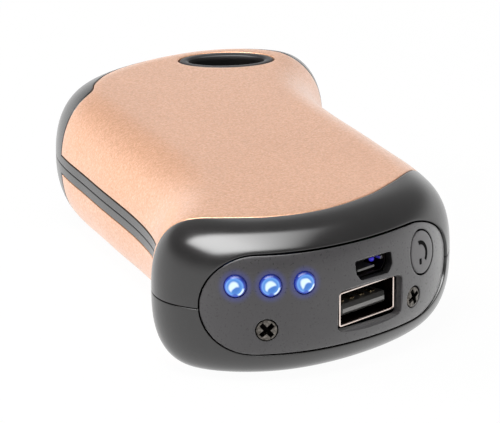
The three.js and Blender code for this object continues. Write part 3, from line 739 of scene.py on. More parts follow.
def lit_lens():
    """A clear acrylic lens over a lit chip: a pale crescent in rings of blue, with a dark rim."""
    made, tree, place = new_finish("acrylic_lens_lit_blue")
    drawn = add(tree, "UVMap", uv_map="lens").outputs["UV"]
    # Each lens bends the picture a little in its own way
    ripple = add(tree, "TexNoise", {"Vector": place, "Scale": every(1.6), "Detail": 1.0}).outputs["Color"]
    bend = add(tree, "VectorMath", {0: ripple, 1: (-0.5, -0.5, -0.5)}, operation="ADD").outputs["Vector"]
    bend = add(tree, "VectorMath", {0: bend, 1: (0.3, 0.3, 0.0)}, operation="MULTIPLY").outputs["Vector"]
    seen = add(tree, "VectorMath", {0: drawn, 1: bend}, operation="ADD").outputs["Vector"]
    away = add(tree, "VectorMath", {0: drawn, 1: (-0.05, 0.03, 0.0)}, operation="DISTANCE").outputs["Value"]
    rings = add(tree, "ValToRGB", {"Fac": away}, stops=[
        (0.0, "3874C0"), (0.45, "3A78C4"), (0.62, "4E8CD4"), (0.76, "6FA6E6"), (0.84, "3458B8"),
        (0.92, "152484"), (1.0, "0C1048"),
    ])
    # The chip's light, bent by the dome into a thick crescent, high and to the left
    outer = add(tree, "VectorMath", {0: seen, 1: (-0.08, 0.04, 0.0)}, operation="DISTANCE").outputs["Value"]
    inner = add(tree, "VectorMath", {0: seen, 1: (0.28, -0.55, 0.0)}, operation="DISTANCE").outputs["Value"]
    within = add(tree, "MapRange", {"Value": outer, "From Min": 0.4, "From Max": 0.62,
                                    "To Min": 1.0, "To Max": 0.0}, interpolation_type="SMOOTHSTEP")
    beyond = add(tree, "MapRange", {"Value": inner, "From Min": 0.55, "From Max": 0.75},
                 interpolation_type="SMOOTHSTEP")
    lit = add(tree, "Math", {0: within.outputs["Result"], 1: beyond.outputs["Result"]}, operation="MULTIPLY")
    # The light's edge comes round again as an arc inside the rim, low and to the right
    aim = add(tree, "VectorMath", {0: drawn}, operation="NORMALIZE").outputs["Vector"]
    facing = add(tree, "VectorMath", {0: aim, 1: (0.78, -0.62, 0.0)}, operation="DOT_PRODUCT")
    swept = add(tree, "MapRange", {"Value": facing.outputs["Value"], "From Min": 0.78, "From Max": 0.95},
                interpolation_type="SMOOTHSTEP")
    ring = add(tree, "Math", {0: away, 1: 0.8, 2: 0.09}, operation="COMPARE")
    arc = add(tree, "Math", {0: swept.outputs["Result"], 1: ring.outputs[0]}, operation="MULTIPLY")
    bright = add(tree, "Math", {0: lit.outputs[0], 1: arc.outputs[0]}, operation="MAXIMUM")
    # Under the crescent a darker blue shows, down to the rim
    low = add(tree, "VectorMath", {0: drawn, 1: (0.0, -0.78, 0.0)}, operation="DISTANCE").outputs["Value"]
    deep = add(tree, "MapRange", {"Value": low, "From Min": 0.12, "From Max": 0.34,
                                  "To Min": 0.75, "To Max": 0.0}, interpolation_type="SMOOTHSTEP")
    under = add(tree, "Mix", {0: deep.outputs["Result"], 6: rings.outputs["Color"], 7: linear("1A3AA8")},
                data_type="RGBA")
    both = add(tree, "Mix", {0: bright.outputs[0], 6: under.outputs[2], 7: linear("E2F8FF")},
               data_type="RGBA")
    shader = add(tree, "BsdfPrincipled", {
        "Base Color": linear("16245C"),
        "Roughness": 0.08,
        "IOR": 1.49,
        "Emission Color": both.outputs[2],
        "Emission Strength": 1.0,
    })
    add(tree, "OutputMaterial", {"Surface": shader.outputs[0]})
    return made


def painted_glint_bead():
    """A painted blue glint: a glowing bead of resin in the inlet, cloudy with fine bubbles."""
    made, tree, place = new_finish("resin_bead_painted_blue_glint")
    bubbles = add(tree, "TexNoise", {"Vector": place, "Scale": every(0.3)}).outputs["Fac"]
    glow = add(tree, "ValToRGB", {"Fac": bubbles}, stops=[(0.3, "28229A"), (0.7, "3E36B4")])
    return surfaced(made, linear("14123C"), bubbles, (0.2, 0.2), bubbles, 0.01, more={
        "Emission Color": glow.outputs["Color"],
        "Emission Strength": 1.0,
    })


def port_plate_plastic():
    """Spark-textured polycarbonate: a fine matt grain, with a painted glow of the lights' blue round each
    lens.
    """
    made, tree, place = new_finish("textured_polycarbonate_grey")
    pores, colour = grained(tree, place, (11, 2.0), (0.35, 3.0), ("302E30", "383638"))
    # A painted glow: the plate itself gives off the lights' blue near each lens
    painted_glow = 0.0
    for index in range(LIGHT_COUNT):
        centre = in_scene(light_frame(index).translation)
        away = add(tree, "VectorMath", {0: place, 1: centre}, operation="DISTANCE").outputs["Value"]
        near = add(tree, "MapRange", {
            "Value": away, "From Min": LENS_RADIUS * MM, "From Max": GLOW_REACH * MM,
            "To Min": PAINTED_GLOW_START, "To Max": 0.0,
        }, interpolation_type="SMOOTHERSTEP")
        painted_glow = add(tree, "Math", {0: near.outputs["Result"], 1: painted_glow}, operation="ADD").outputs[0]
    return surfaced(made, colour, pores, (0.26, 0.36), pores, 0.008, more={
        "IOR": 1.58,
        "Sheen Weight": 0.85,
        "Sheen Roughness": 0.45,
        "Emission Color": linear("1B39C8"),
        "Emission Strength": painted_glow,
    })


def circuit_board():
    """Fibreglass under green solder mask: copper tracks show as paler lines under a satin lacquer."""
    made, tree, place = new_finish("solder_mask_green")
    lines = add(tree, "TexVoronoi", {"Vector": place, "Scale": every(2.4)},
                feature="DISTANCE_TO_EDGE").outputs["Distance"]
    weave = add(tree, "TexNoise", {"Vector": place, "Scale": every(0.4)}).outputs["Fac"]
    tracks = [(0.03, "3C8A5C"), (0.08, "1F5B3A"), (0.5, "1A5034")]
    colour = add(tree, "ValToRGB", {"Fac": lines}, stops=tracks)
    return surfaced(made, colour.outputs["Color"], weave, (0.28, 0.42), lines, 0.03, FULL_SPAN)


def pad_foam():
    """Open-cell foam: a matt grey full of pores about half a millimetre across."""
    made, tree, place = new_finish("open_cell_foam_grey")
    cells = add(tree, "TexVoronoi", {"Vector": place, "Scale": every(0.6)}).outputs["Distance"]
    colour = add(tree, "ValToRGB", {"Fac": cells}, stops=[(0.1, "232326"), (0.6, "4A4A4E")])
    return surfaced(made, colour.outputs["Color"], cells, (0.95, 0.95), cells, 0.25)


def heater_foil():
    """A polyimide film with its etched heating track: glossy amber, crossed by darker copper lines."""
    made, tree, place = new_finish("polyimide_film_amber")
    # The track runs to and fro every 1.6 mm
    track = add(tree, "TexWave", {"Vector": place, "Scale": every(1.6) / math.tau, "Distortion": 0.0},
                wave_type="BANDS", bands_direction="X").outputs["Fac"]
    wear = add(tree, "TexNoise", {"Vector": place, "Scale": every(5)}).outputs["Fac"]
    colour = add(tree, "ValToRGB", {"Fac": track}, stops=[(0.4, "D0872F"), (0.6, "A4581F")])
    return surfaced(made, colour.outputs["Color"], wear, (0.15, 0.3), track, 0.03, FULL_SPAN)


# Each material slot's finish, and the second finishes of some faces
FINISHES = {
    # Glossy ABS: a deep black whose skin waves a little, so reflections wander
    "gloss_black": moulded("glossy_abs_black", ("0E0C0C", "131111"), (0.18, 0.22), 5.0, 0.004, specular=1.0),
    # Near-black for the plate's walls and the lanyard hole's wall: painted shade in the holes and seams,
    # given as bare plastic where the plate's grey coat ends
    "plate_wall": moulded("abs_black_painted_hole_shade", ("080707", "0C0B0B"), (0.5, 0.6), 0.5, 0.01, specular=0.2),
    # Printing ink for the power sign: dense and quite dull
    "sign_ink": moulded("screen_ink_black", ("040404", "070707"), (0.8, 0.9), 0.4, 0.004, specular=0.1),
    # Satin ABS: the mould's fine texture breaks the shine into a soft grey
    "satin_black": moulded("satin_abs_black", ("1C1B1D", "252426"), (0.3, 0.4), 0.4, 0.01),
    "gold_metal": gold_aluminium(),
    "plate_grey": port_plate_plastic(),
    # The button is from a finer textured mould than the plate and comes out a little paler
    "button_grey": moulded("textured_polycarbonate_pale", ("4C4A4C", "555355"), (0.28, 0.38), 0.35, 0.008,
                           nap=0.6),
    "lens_blue": lit_lens(),
    # Ceramic-filled resin round a light's chip: white, with a slight shine
    "chip_white": moulded("white_epoxy_resin", ("E4E2DC", "EEECE6"), (0.3, 0.4), 0.5, 0.01),
    # Black-nickel plate over steel: a smoky mirror, mottled where the turning left it rough
    "screw_nickel": metal("black_nickel_plated_steel", ("3A3733", "85807A"), (0.2, 0.38), 0.5, 0.05),
    # Down in the screw's cross the steel is darkened as painted shade and hardly shines
    "recess_black": metal("steel_painted_recess_shade", ("0B0A0A", "151313"), (0.5, 0.7), 0.5, 0.01),
    # Nickel-plated sheet, bright on its folded rim
    "socket_steel": metal("nickel_plated_steel_sheet", ("E8D4CA", "FFF1E9"), (0.14, 0.24), 0.9, 0.002),
    # The same sheet inside, darkened as painted shade where the plate round it shades it
    "socket_inside": metal("steel_sheet_painted_shade", ("1D1412", "33241F"), (0.3, 0.45), 1.2, 0.004),
    # The small inlet's sheet is dark all over: painted shade, as the inlet lies in shade
    "socket_dark": metal("steel_sheet_painted_dark_shade", ("0E0C0D", "1B191A"), (0.4, 0.55), 0.9, 0.004),
    # Brass under a flash of gold: pale, and bright where plugs rub it
    "contact_brass": metal("gold_flashed_brass", ("EBD09A", "FFF0CE"), (0.2, 0.3), 0.6, 0.002),
    # Glass-filled nylon: dark, as painted shade beside the pale lit nose, with short fibres that roughen its
    # skin
    "socket_tongue": moulded("glass_filled_nylon_grey", ("3A3938", "464543"), (0.45, 0.6), 0.35, 0.01),
    # The tongue's nose in a paler grey: painted light on the lit front face
    "tongue_nose": moulded("nylon_grey_painted_lit_face", ("858482", "959492"), (0.6, 0.7), 0.35, 0.01),
    # A painted blue glint: a bead in the inlet that glows the lights' blue
    "painted_blue_glint": painted_glint_bead(),
    # Solder left on the inlet's tab: soft-edged and bright
    "solder": metal("tin_solder", ("E4E6EA", "F8F9FC"), (0.25, 0.35), 0.5, 0.002),
    "board_green": circuit_board(),
    # Sintered ferrite: a dull grey, sandy to the touch
    "ferrite": moulded("sintered_ferrite_grey", ("4A4C4E", "5A5C5E"), (0.65, 0.8), 0.3, 0.03),
    # Aluminium laminate, crinkled slightly where the pouch is drawn round the cell
    "cell_pouch": metal("aluminium_laminate_foil", ("ACAFB4", "C9CBCF"), (0.28, 0.42), 6.0, 0.08),
    "foam": pad_foam(),
    "heater_film": heater_foil(),
}

# Silicone wire jackets: soft, with a waxy sheen
for jacket, tones in (("red", ("9E1C1C", "B42626")), ("black", ("141414", "1C1C1C")),
                      ("white", ("DDDAD2", "EAE7E0"))):
    FINISHES["lead_" + jacket] = moulded("silicone_rubber_" + jacket, tones, (0.4, 0.5), 0.6, 0.01)


# Gold panels and the shells' seats under them

ROWS = 112
COLUMNS = 96


def edge_line(shares):
    points = [Vector((x * HALF_WIDTH, y * HALF_LENGTH)) for x, y in shares]
    ends = [2 * points[0] - points[1], *points, 2 * points[-1] - points[-2]]
    line = []
    for before, a, b, after in zip(ends, ends[1:], ends[2:], ends[3:]):
        line += interpolate_bezier(a, a + (b - before) / 6, b - (after - a) / 6, b, BEZIER_STEPS)[:-1]
    return line


def shifted(points, distance):
    """A line moved sideways, to its left for a positive distance."""
    moved = []
    for i, point in enumerate(points):
        along = (points[min(i + 1, len(points) - 1)] - points[max(i - 1, 0)]).normalized()
        moved.append(point + Vector((-along.y, along.x)) * distance)
    return moved


def evenly(points, count):
    """Points spread evenly along a line, its ends among them."""
    reached = [0.0]
    for a, b in zip(points, points[1:]):
        reached.append(reached[-1] + (b - a).length)
    spread = []
    k = 0
    for i in range(count + 1):
        target = reached[-1] * i / count
        while k < len(points) - 2 and reached[k + 1] < target:
            k += 1
        span = max(reached[k + 1] - reached[k], 0.000001)
        spread.append(points[k].lerp(points[k + 1], min(max((target - reached[k]) / span, 0), 1)))
    return spread


def crossing_line(shares, distance, band_z):
    """The part of a panel's end line that lies above the band, unrolled, and its two end places."""
    inside = []
    for point in shifted(edge_line(shares), distance):
        place, outside = foot(point)
        if outside >= 0:
            continue
        angle = angle_inside(place, -outside)
        if angle >= angle_at(place, band_z):
            rolled = point if -outside >= EDGE_REACH else unroll(place, angle)
            inside.append((place, rolled))
    first, last = inside[0][0], inside[-1][0]
    start = unroll(first, angle_at(first, band_z))
    end = unroll(last, angle_at(last, band_z))
    return [start, *[rolled for _, rolled in inside], end], first, last


def side_line(start, end, band_z):
    """The band's upper edge between two places, unrolled, by the shorter way round."""
    reach = (end - start + COUNT / 2) % COUNT - COUNT / 2
    steps = ROWS * 2
    places = [start + reach * i / steps for i in range(steps + 1)]
    return [unroll(place, angle_at(place, band_z)) for place in places]


def panel_border(clearance):
    """The four edges of a panel, unrolled, grown by a clearance: near, right, far and left."""
    band_z = BAND_HEIGHT / 2 - clearance
    near, near_left, near_right = crossing_line(NEAR_EDGE_SHARES, -clearance, band_z)
    far, far_left, far_right = crossing_line(FAR_EDGE_SHARES, clearance, band_z)
    return {
        "near": evenly(near, COLUMNS),
        "far": evenly(far, COLUMNS),
        "left": evenly(side_line(near_left, far_left, band_z), ROWS),
        "right": evenly(side_line(near_right, far_right, band_z), ROWS),
    }


def filled(border, column, row):
    """A point inside a border, blended from its four edges."""
    a, b = row / ROWS, column / COLUMNS
    near, far, left, right = (border[edge] for edge in ("near", "far", "left", "right"))
    across = near[column] * (1 - a) + far[column] * a
    along = left[row] * (1 - b) + right[row] * b
    corners = ((near[0] * (1 - b) + near[-1] * b) * (1 - a) + (far[0] * (1 - b) + far[-1] * b) * a)
    return across + along - corners


def new_grid():
    """A flat grid whose points know their column and row."""
    bm = bmesh.new()
    column_of = bm.verts.layers.int.new("column")
    row_of = bm.verts.layers.int.new("row")
    bmesh.ops.create_grid(bm, x_segments=COLUMNS, y_segments=ROWS, size=1)
    for vert in bm.verts:
        vert[column_of] = round((vert.co.x + 1) / 2 * COLUMNS)
        vert[row_of] = round((vert.co.y + 1) / 2 * ROWS)
    return bm, column_of, row_of


def border_point(border, column, row):
    if row == 0:
        return border["near"][column]
    if row == ROWS:
        return border["far"][column]
    return border["left"][row] if column == 0 else border["right"][row]


def grow(bm, where):
    """Extrudes the whole open border by one row of faces."""
    extruded(bm, [edge for edge in bm.edges if edge.is_boundary], where)


def panel_solid(side):
    bm, column_of, row_of = new_grid()
    inner = panel_border(-PANEL_EDGE_RADIUS)
    move_to(bm.verts, lambda v: on_body(filled(inner, v[column_of], v[row_of]), side))
    for grow_by, depth in [*rounded_in(PANEL_EDGE_RADIUS)[1:], (0, PANEL_SKIN)]:
        border = panel_border(grow_by)
        grow(bm, lambda v: on_body(border_point(border, v[column_of], v[row_of]), side, depth))
    under, column_of, row_of = new_grid()
    border = panel_border(0)
    move_to(under.verts, lambda v: on_body(filled(border, v[column_of], v[row_of]), side, PANEL_SKIN))
    return joined([bm, under])


def gold_panels():
    for side, node in ((1, "front_panel"), (-1, "back_panel")):
        bm = carved(panel_solid(side), [eyelet_post(GAP, HOLE_LIP)])
        finish(bm, node + "_sheet", node=node, slot="gold_metal")


# Lanyard eyelet

def oval_loft(section, closed):
    """Rings of an oval, from growths of its outline and heights, closed on itself or capped."""
    bm = bmesh.new()
    bmesh.ops.create_circle(bm, cap_ends=False, segments=EYELET_STEPS, radius=1)
    step_of = bm.verts.layers.int.new("step")
    for vert in bm.verts:
        vert[step_of] = round(math.atan2(vert.co.y, vert.co.x) / math.tau * EYELET_STEPS)
    turn = Matrix.Rotation(EYELET_TURN, 2)
    middle = Vector((EYELET_SHARES[0] * HALF_WIDTH, EYELET_SHARES[1] * HALF_LENGTH))

    def ring(grow_by, z):
        def where(vert):
            angle = math.tau * vert[step_of] / EYELET_STEPS
            flat = turn @ Vector(((EYELET_LENGTH / 2 + grow_by) * math.cos(angle),
                                  (EYELET_BREADTH / 2 + grow_by) * math.sin(angle)))
            return Vector((*(middle + flat), z))
        return where

    edges = list(bm.edges)
    first = edges
    move_to(bm.verts, ring(*section[0]))
    for grow_by, z in section[1:]:
        edges = extruded(bm, edges, ring(grow_by, z))
    if closed:
        bmesh.ops.bridge_loops(bm, edges=first + edges)
    else:
        bmesh.ops.holes_fill(bm, edges=first + edges, sides=0)
    bmesh.ops.recalc_face_normals(bm, faces=bm.faces)
    return bm


def eyelet_post(grow_by, lip):
    """An oval post through the whole body, with a flared mouth at each face, for cutting with."""
    rows = [(grow_by + 3 * lip, HALF_THICKNESS + 2 * lip),
            *[(grow_by + g, HALF_THICKNESS - d) for g, d in rounded_out(lip)]]
    return oval_loft([*rows, *[(g, -z) for g, z in reversed(rows)]], closed=False)


def lanyard_eyelet():
    tube = -EYELET_OVERHANG
    bore = tube - EYELET_TUBE
    shoulder = HALF_THICKNESS - EYELET_FLANGE
    lip = [(g, HALF_THICKNESS - d) for g, d in reversed(rounded_in(EYELET_FLANGE / 3))]
    mouth = [(bore + g, HALF_THICKNESS - d) for g, d in rounded_out(EYELET_MOUTH, steps=8)]
    section = [(bore, JOINT_SEAM / 2), (tube, JOINT_SEAM / 2), (tube, shoulder), (0, shoulder),
               *lip, *mouth]
    deep = (HALF_THICKNESS - EYELET_MOUTH * MOUTH_RIM_SHARE) * MM
    for side, node in ((1, "eyelet_front"), (-1, "eyelet_back")):
        ring = oval_loft([(grow_by, side * z) for grow_by, z in section], closed=True)
        piece = finish(ring, node + "_ring", node=node, slot="satin_black")
        # The bore's wall takes the near-black finish: painted shade down the bore, between the satin rims
        second_finish(piece, "plate_wall", lambda centre, _: abs(centre.z - HALF_THICKNESS * MM) < deep)


# Shells: the seat under the panel, a step up at its edge, then out to the joint or the port plate

REACH_ROWS = 26
NEAR_LEFT_SHARE = 0.2
NEAR_RIGHT_SHARE = 0.14


def plate_half_height(along):
    end = PLATE_LEFT_END if along < 0 else PLATE_RIGHT_END
    past = min(max(abs(along) - (PLATE_LENGTH / 2 - end), 0) / end, 1)
    return PLATE_HEIGHT / 2 * math.sqrt(1 - past * past)


def at_joint(place):
    return unroll(place, angle_at(place, JOINT_SEAM / 2))


def joint_line(start, end):
    """The joint line between two places, unrolled."""
    return [at_joint(start + (end - start) * i / JOINT_STEPS) for i in range(JOINT_STEPS + 1)]


def plate_border(side, margin):
    """The upper or lower edge of the plate's seat, unrolled, from its left end to its right end."""
    middle = PLATE_MIDDLE_SHARE * OUTLINE_LENGTH
    line = []
    for i in range(SEAT_STEPS + 1):
        share = -math.cos(math.pi * i / SEAT_STEPS)
        along = share * PLATE_LENGTH / 2
        slope = Vector((share * abs(share) * 0.9, side * (1 - abs(share)))).normalized()
        place = place_at(middle + along + slope.x * margin)
        z = PLATE_RISE + side * plate_half_height(along) + slope.y * margin
        if side * z >= JOINT_SEAM / 2:
            line.append(unroll(place, angle_at(place, z)))
    return line


def outer_border(side, inner):
    """Where each column of a shell ends: on the joint line, or on the port plate's seam."""
    near_left, near_right = foot(inner["near"][0])[0], foot(inner["near"][-1])[0]
    far_left, far_right = foot(inner["far"][0])[0], foot(inner["far"][-1])[0]
    if near_left > COUNT / 2:
        near_left -= COUNT
    plate = plate_border(side, PLATE_SEAM)
    plate_start, plate_end = foot(plate[0])[0], foot(plate[-1])[0]
    left, right = round(COLUMNS * NEAR_LEFT_SHARE), round(COLUMNS * NEAR_RIGHT_SHARE)
    middle = evenly([at_joint(plate_start), *plate, at_joint(plate_end)], COLUMNS - left - right)
    return {
        "near": [*evenly(joint_line(near_left, plate_start), left)[:-1], *middle,
                 *evenly(joint_line(plate_end, near_right), right)[1:]],
        "far": evenly(joint_line(far_left, far_right), COLUMNS),
        "left": evenly(joint_line(near_left + COUNT, far_left), ROWS),
        "right": evenly(joint_line(near_right, far_right), ROWS),
    }


def shell_solid(side):
    radius = SHELL_EDGE_RADIUS
    seat = PANEL_SKIN + GAP
    inner = panel_border(PANEL_SEAM + radius)
    outer = outer_border(side, inner)

    def between(column, row, share, back, depth):
        start, end = border_point(inner, column, row), border_point(outer, column, row)
        reach = (end - start).length
        return on_body(start.lerp(end, max(share * reach - back, 0) / reach), side, depth)

    outside, column_of, row_of = new_grid()
    border = panel_border(PANEL_SEAM)
    move_to(outside.verts, lambda v: on_body(filled(border, v[column_of], v[row_of]), side, seat))
    for grow_by, depth in reversed(rounded_in(radius)):
        edge = panel_border(PANEL_SEAM - grow_by)
        grow(outside, lambda v: on_body(border_point(edge, v[column_of], v[row_of]), side, depth))
    for i in range(1, REACH_ROWS + 1):
        share = i / REACH_ROWS
        grow(outside, lambda v: between(v[column_of], v[row_of], share, radius * share, 0))
    for grow_by, depth in [*rounded_in(radius)[1:], (0, SHELL_WALL)]:
        grow(outside, lambda v: between(v[column_of], v[row_of], 1, -grow_by, depth))

    inside, column_of, row_of = new_grid()
    move_to(inside.verts, lambda v: on_body(filled(inner, v[column_of], v[row_of]), side, SHELL_WALL))
    for i in range(1, REACH_ROWS + 1):
        share = i / REACH_ROWS
        grow(inside, lambda v: between(v[column_of], v[row_of], share, 0, SHELL_WALL))
    return joined([outside, inside])


def shells():
    for side, node in ((1, "upper_shell"), (-1, "lower_shell")):
        bm = carved(shell_solid(side), [eyelet_post(GAP - EYELET_OVERHANG, HOLE_LIP)])
        finish(bm, node + "_moulding", node=node, slot="gloss_black")


# Port plate, with a lipped hole for each thing that passes through it

def plate_sheet():
    """The plate's plan as a grid, closer set towards its round ends."""
    bm = bmesh.new()
    bmesh.ops.create_grid(bm, x_segments=PLATE_COLUMNS, y_segments=PLATE_ROWS, size=1)
    for vert in bm.verts:
        along = math.sin(vert.co.x * PLATE_END_SHARE * math.pi / 2) * PLATE_LENGTH / 2
        vert.co = (along, vert.co.y * plate_half_height(along), 0)
    return marked(bm)


def plate_hole(shape, where):
    rows = [(HOLE_LIP + HOLE_DEPTH / 2, PLATE_SINK - HOLE_DEPTH / 2),
            *rounded_out(HOLE_LIP, PLATE_SINK), (0, HOLE_DEPTH)]
    return loft(shape, rows, where)


def port_plate():
    back = PLATE_SINK + PLATE_SKIN
    where = following((0, PLATE_RISE))
    edge = rounded_in(PLATE_EDGE_RADIUS, PLATE_SINK)
    front = loft(plate_sheet(), [*edge, (0, back)], where, capped=False)
    rear = loft(plate_sheet(), [(0, back)], where, capped=False)
    # The outlet's hole leaves more room below the outlet than above it
    along, z, turn = usb_place()
    outlet_place = (along, z - OUTLET_DROP / 2, turn)
    outlet = rectangle(USB_WIDTH + 2 * GAP, USB_HEIGHT + 2 * GAP + OUTLET_DROP, OUTLET_CORNER)
    lights = [light_place(index) for index in range(LIGHT_COUNT)]
    screws = [plate_place(shares) for shares in SCREW_SHARES]
    holes = [
        plate_hole(disc(BUTTON_RADIUS + BUTTON_GAP), following(plate_place(BUTTON_SHARES))),
        plate_hole(outlet, bored(outlet_place)),
        plate_hole(micro_shape(GAP / 2), bored(micro_place())),
        *[plate_hole(disc(LENS_RADIUS + LENS_GAP), following(place)) for place in lights],
        *[plate_hole(disc(SCREW_HEAD_RADIUS + SCREW_GAP), following(place)) for place in screws],
    ]
    plate = carved(joined([front, rear]), holes)
    piece = finish(plate, "port_plate_face", node="port_plate", slot="plate_grey")

    # The walls take the near-black finish as painted shade, given as bare plastic under a grey coat on the
    # face; the outlet's hole keeps the grey
    into_outlet = face_frame(*outlet_place).inverted()
    room_across, room_up = USB_WIDTH / 2 + 2 * GAP, USB_HEIGHT / 2 + 2 * GAP + OUTLET_DROP

    def painted_shade_wall(middle, normal):
        plan = middle.xy / MM
        outward = outline_at(foot(plan)[0])[2]
        spot = into_outlet @ Vector((*plan, middle.z / MM - HALF_THICKNESS))
        by_outlet = abs(spot.x) < room_across and abs(spot.y) < room_up
        return normal.xy.dot(outward) < HALFWAY and not by_outlet

    second_finish(piece, "plate_wall", painted_shade_wall)


def light_lenses():
    """Domed lenses, each with its own round chart for the light's picture."""
    for index in range(LIGHT_COUNT):
        matrix = light_frame(index)
        rows = [*domed(LENS_RADIUS, LENS_DOME), (0, LENS_DEPTH)]
        bm = loft(disc(LENS_RADIUS), rows, lambda at, depth: matrix @ Vector((*at, -depth)))
        drawn = bm.verts.layers.float_vector["drawn"]
        chart = bm.loops.layers.uv.new("lens")
        for face in bm.faces:
            for loop in face.loops:
                loop[chart].uv = loop.vert[drawn].xy / LENS_RADIUS
        node = f"light_lens_{index + 1}"
        finish(bm, node + "_dome", node=node, slot="lens_blue")


def plate_screws():
    """Crowned heads with a tapered cross recess, on their shanks."""
    for index, shares in enumerate(SCREW_SHARES):
        where = square_on(plate_place(shares))
        head = domed(SCREW_HEAD_RADIUS, SCREW_CROWN, SCREW_SINK)
        under = SCREW_SINK + SCREW_HEAD_HEIGHT
        neck = SCREW_SHANK_RADIUS - SCREW_HEAD_RADIUS
        rows = [*head, (0, under), (neck, under), (neck, under + SCREW_SHANK)]
        screw = loft(disc(SCREW_HEAD_RADIUS), rows, where)
        top, bottom = SCREW_SINK - SCREW_CROWN, SCREW_SINK + CROSS_DEPTH
        taper = [(CROSS_TAPER, top - CROSS_DEPTH), (CROSS_TAPER, top), (-CROSS_TAPER, bottom)]
        spin = Matrix.Rotation(CROSS_TURNS[index], 2)
        cuts = [loft(rectangle(*arms), taper, lambda flat, depth: where(spin @ flat, depth))
                for arms in ((CROSS_ARM, CROSS_WIDTH), (CROSS_WIDTH, CROSS_ARM))]
        node = f"plate_screw_{index + 1}"
        piece = finish(carved(screw, cuts), node + "_head", node=node, slot="screw_nickel")
        middle, axis = drawn_from(where)
        middle = in_scene(middle)

        def recess(centre, _):
            depth = (middle - centre).dot(axis)
            across = (centre - middle + axis * depth).length
            within = SCREW_SINK - SLACK < depth / MM < bottom + SLACK
            return within and across / MM < CROSS_ARM / 2 + CROSS_TAPER

        # The cross's faces take the near-black finish: painted shade in the recess
        second_finish(piece, "recess_black", recess)


# Sockets: a folded sheet open at the front, a tongue on a block at the back, and contacts

def socket_sleeve(shape, sheet, sink, length, where, node, look="socket_steel"):
    half = sheet / 2
    rim = [(half * (math.cos(a) - 1), sink + half * (1 - math.sin(a)))
           for a in (math.pi * i / DOME_STEPS for i in range(DOME_STEPS + 1))]
    back = sink + length
    bm = loft(shape, [(0, back), *rim, (-sheet, back - sheet)], where)
    sleeve = finish(bm, node + "_sleeve", node=node, slot="socket_steel", look=look)
    # The walls inside take a second, darker finish: painted shade
    middle, axis = drawn_from(where)
    mouth = in_scene(middle - axis * (sink + sheet))

    def inside(centre, normal):
        past = (centre - mouth).dot(axis)
        across = centre - mouth - axis * past
        return past < 0 and (normal.dot(across) < 0 or normal.dot(axis) > SQUARELY)

    second_finish(sleeve, "socket_inside", inside)


def nose_finish(piece, where, front):
    """Gives a tongue's foremost face the paler finish, a painted lit face."""
    middle, axis = drawn_from(where)
    ahead = in_scene(middle - axis * front)

    def foremost(centre, normal):
        return normal.dot(axis) > SQUARELY and abs((centre - ahead).dot(axis)) < NOSE_SLACK * MM

    second_finish(piece, "tongue_nose", foremost)


def usb_place():
    return *plate_place(USB_SHARES), SOCKET_TURN


def outlet_socket():
    where = square_on(usb_place())
    socket_sleeve(rectangle(USB_WIDTH, USB_HEIGHT, USB_CORNER), USB_SHEET, USB_SINK, USB_LENGTH, where,
                  "usb_socket_shell")
    back = USB_SINK + USB_LENGTH - USB_SHEET - GAP
    room = 2 * (USB_SHEET + GAP)
    block = loft(rectangle(USB_WIDTH - room, USB_HEIGHT - room), [(0, back - BLOCK_LENGTH), (0, back)], where)
    front = USB_SINK + TONGUE_SINK
    along, z, turn = usb_place()
    low = square_on((along, z - TONGUE_DROP, turn))
    tongue = loft(rectangle(TONGUE_WIDTH, TONGUE_HEIGHT),
                  [(-TONGUE_CHAMFER, front), (0, front + TONGUE_CHAMFER), (0, back)], low)
    piece = finish(joined([block, tongue]), "usb_socket_tongue_moulding", node="usb_socket_tongue",
                   slot="socket_tongue")
    nose_finish(piece, where, front)
    for index in range(CONTACT_COUNT):
        over = (index - (CONTACT_COUNT - 1) / 2) * CONTACT_PITCH
        up = (TONGUE_HEIGHT + CONTACT_HEIGHT) / 2 - TONGUE_DROP + CONTACT_GAP
        strip = loft(rectangle(CONTACT_WIDTH, CONTACT_HEIGHT),
                     [(-CONTACT_NOSE, front + CONTACT_SINK), (0, front + CONTACT_SINK + CONTACT_NOSE),
                      (0, back - BLOCK_LENGTH - GAP)],
                     lambda at, depth: where(Vector((at.x + over, at.y + up)), depth))
        node = f"usb_contact_{index + 1}"
        finish(strip, node + "_strip", node=node, slot="contact_brass")


def micro_place():
    along, z, turn = usb_place()
    return along + MICRO_SHIFT, z + USB_HEIGHT / 2 + MICRO_LIFT + MICRO_HEIGHT / 2, turn


def micro_shape(grow_by=0.0):
    """The small inlet's outline: square shoulders above, drawn in below."""
    top, foot_half = MICRO_WIDTH / 2 + grow_by, MICRO_FOOT / 2 + grow_by
    high = MICRO_HEIGHT / 2 + grow_by
    side = -high * MICRO_SHOULDER_SHARE
    points = [(-foot_half, -high), (foot_half, -high), (top, side), (top, high), (-top, high), (-top, side)]
    return polygon(points, MICRO_CORNER)


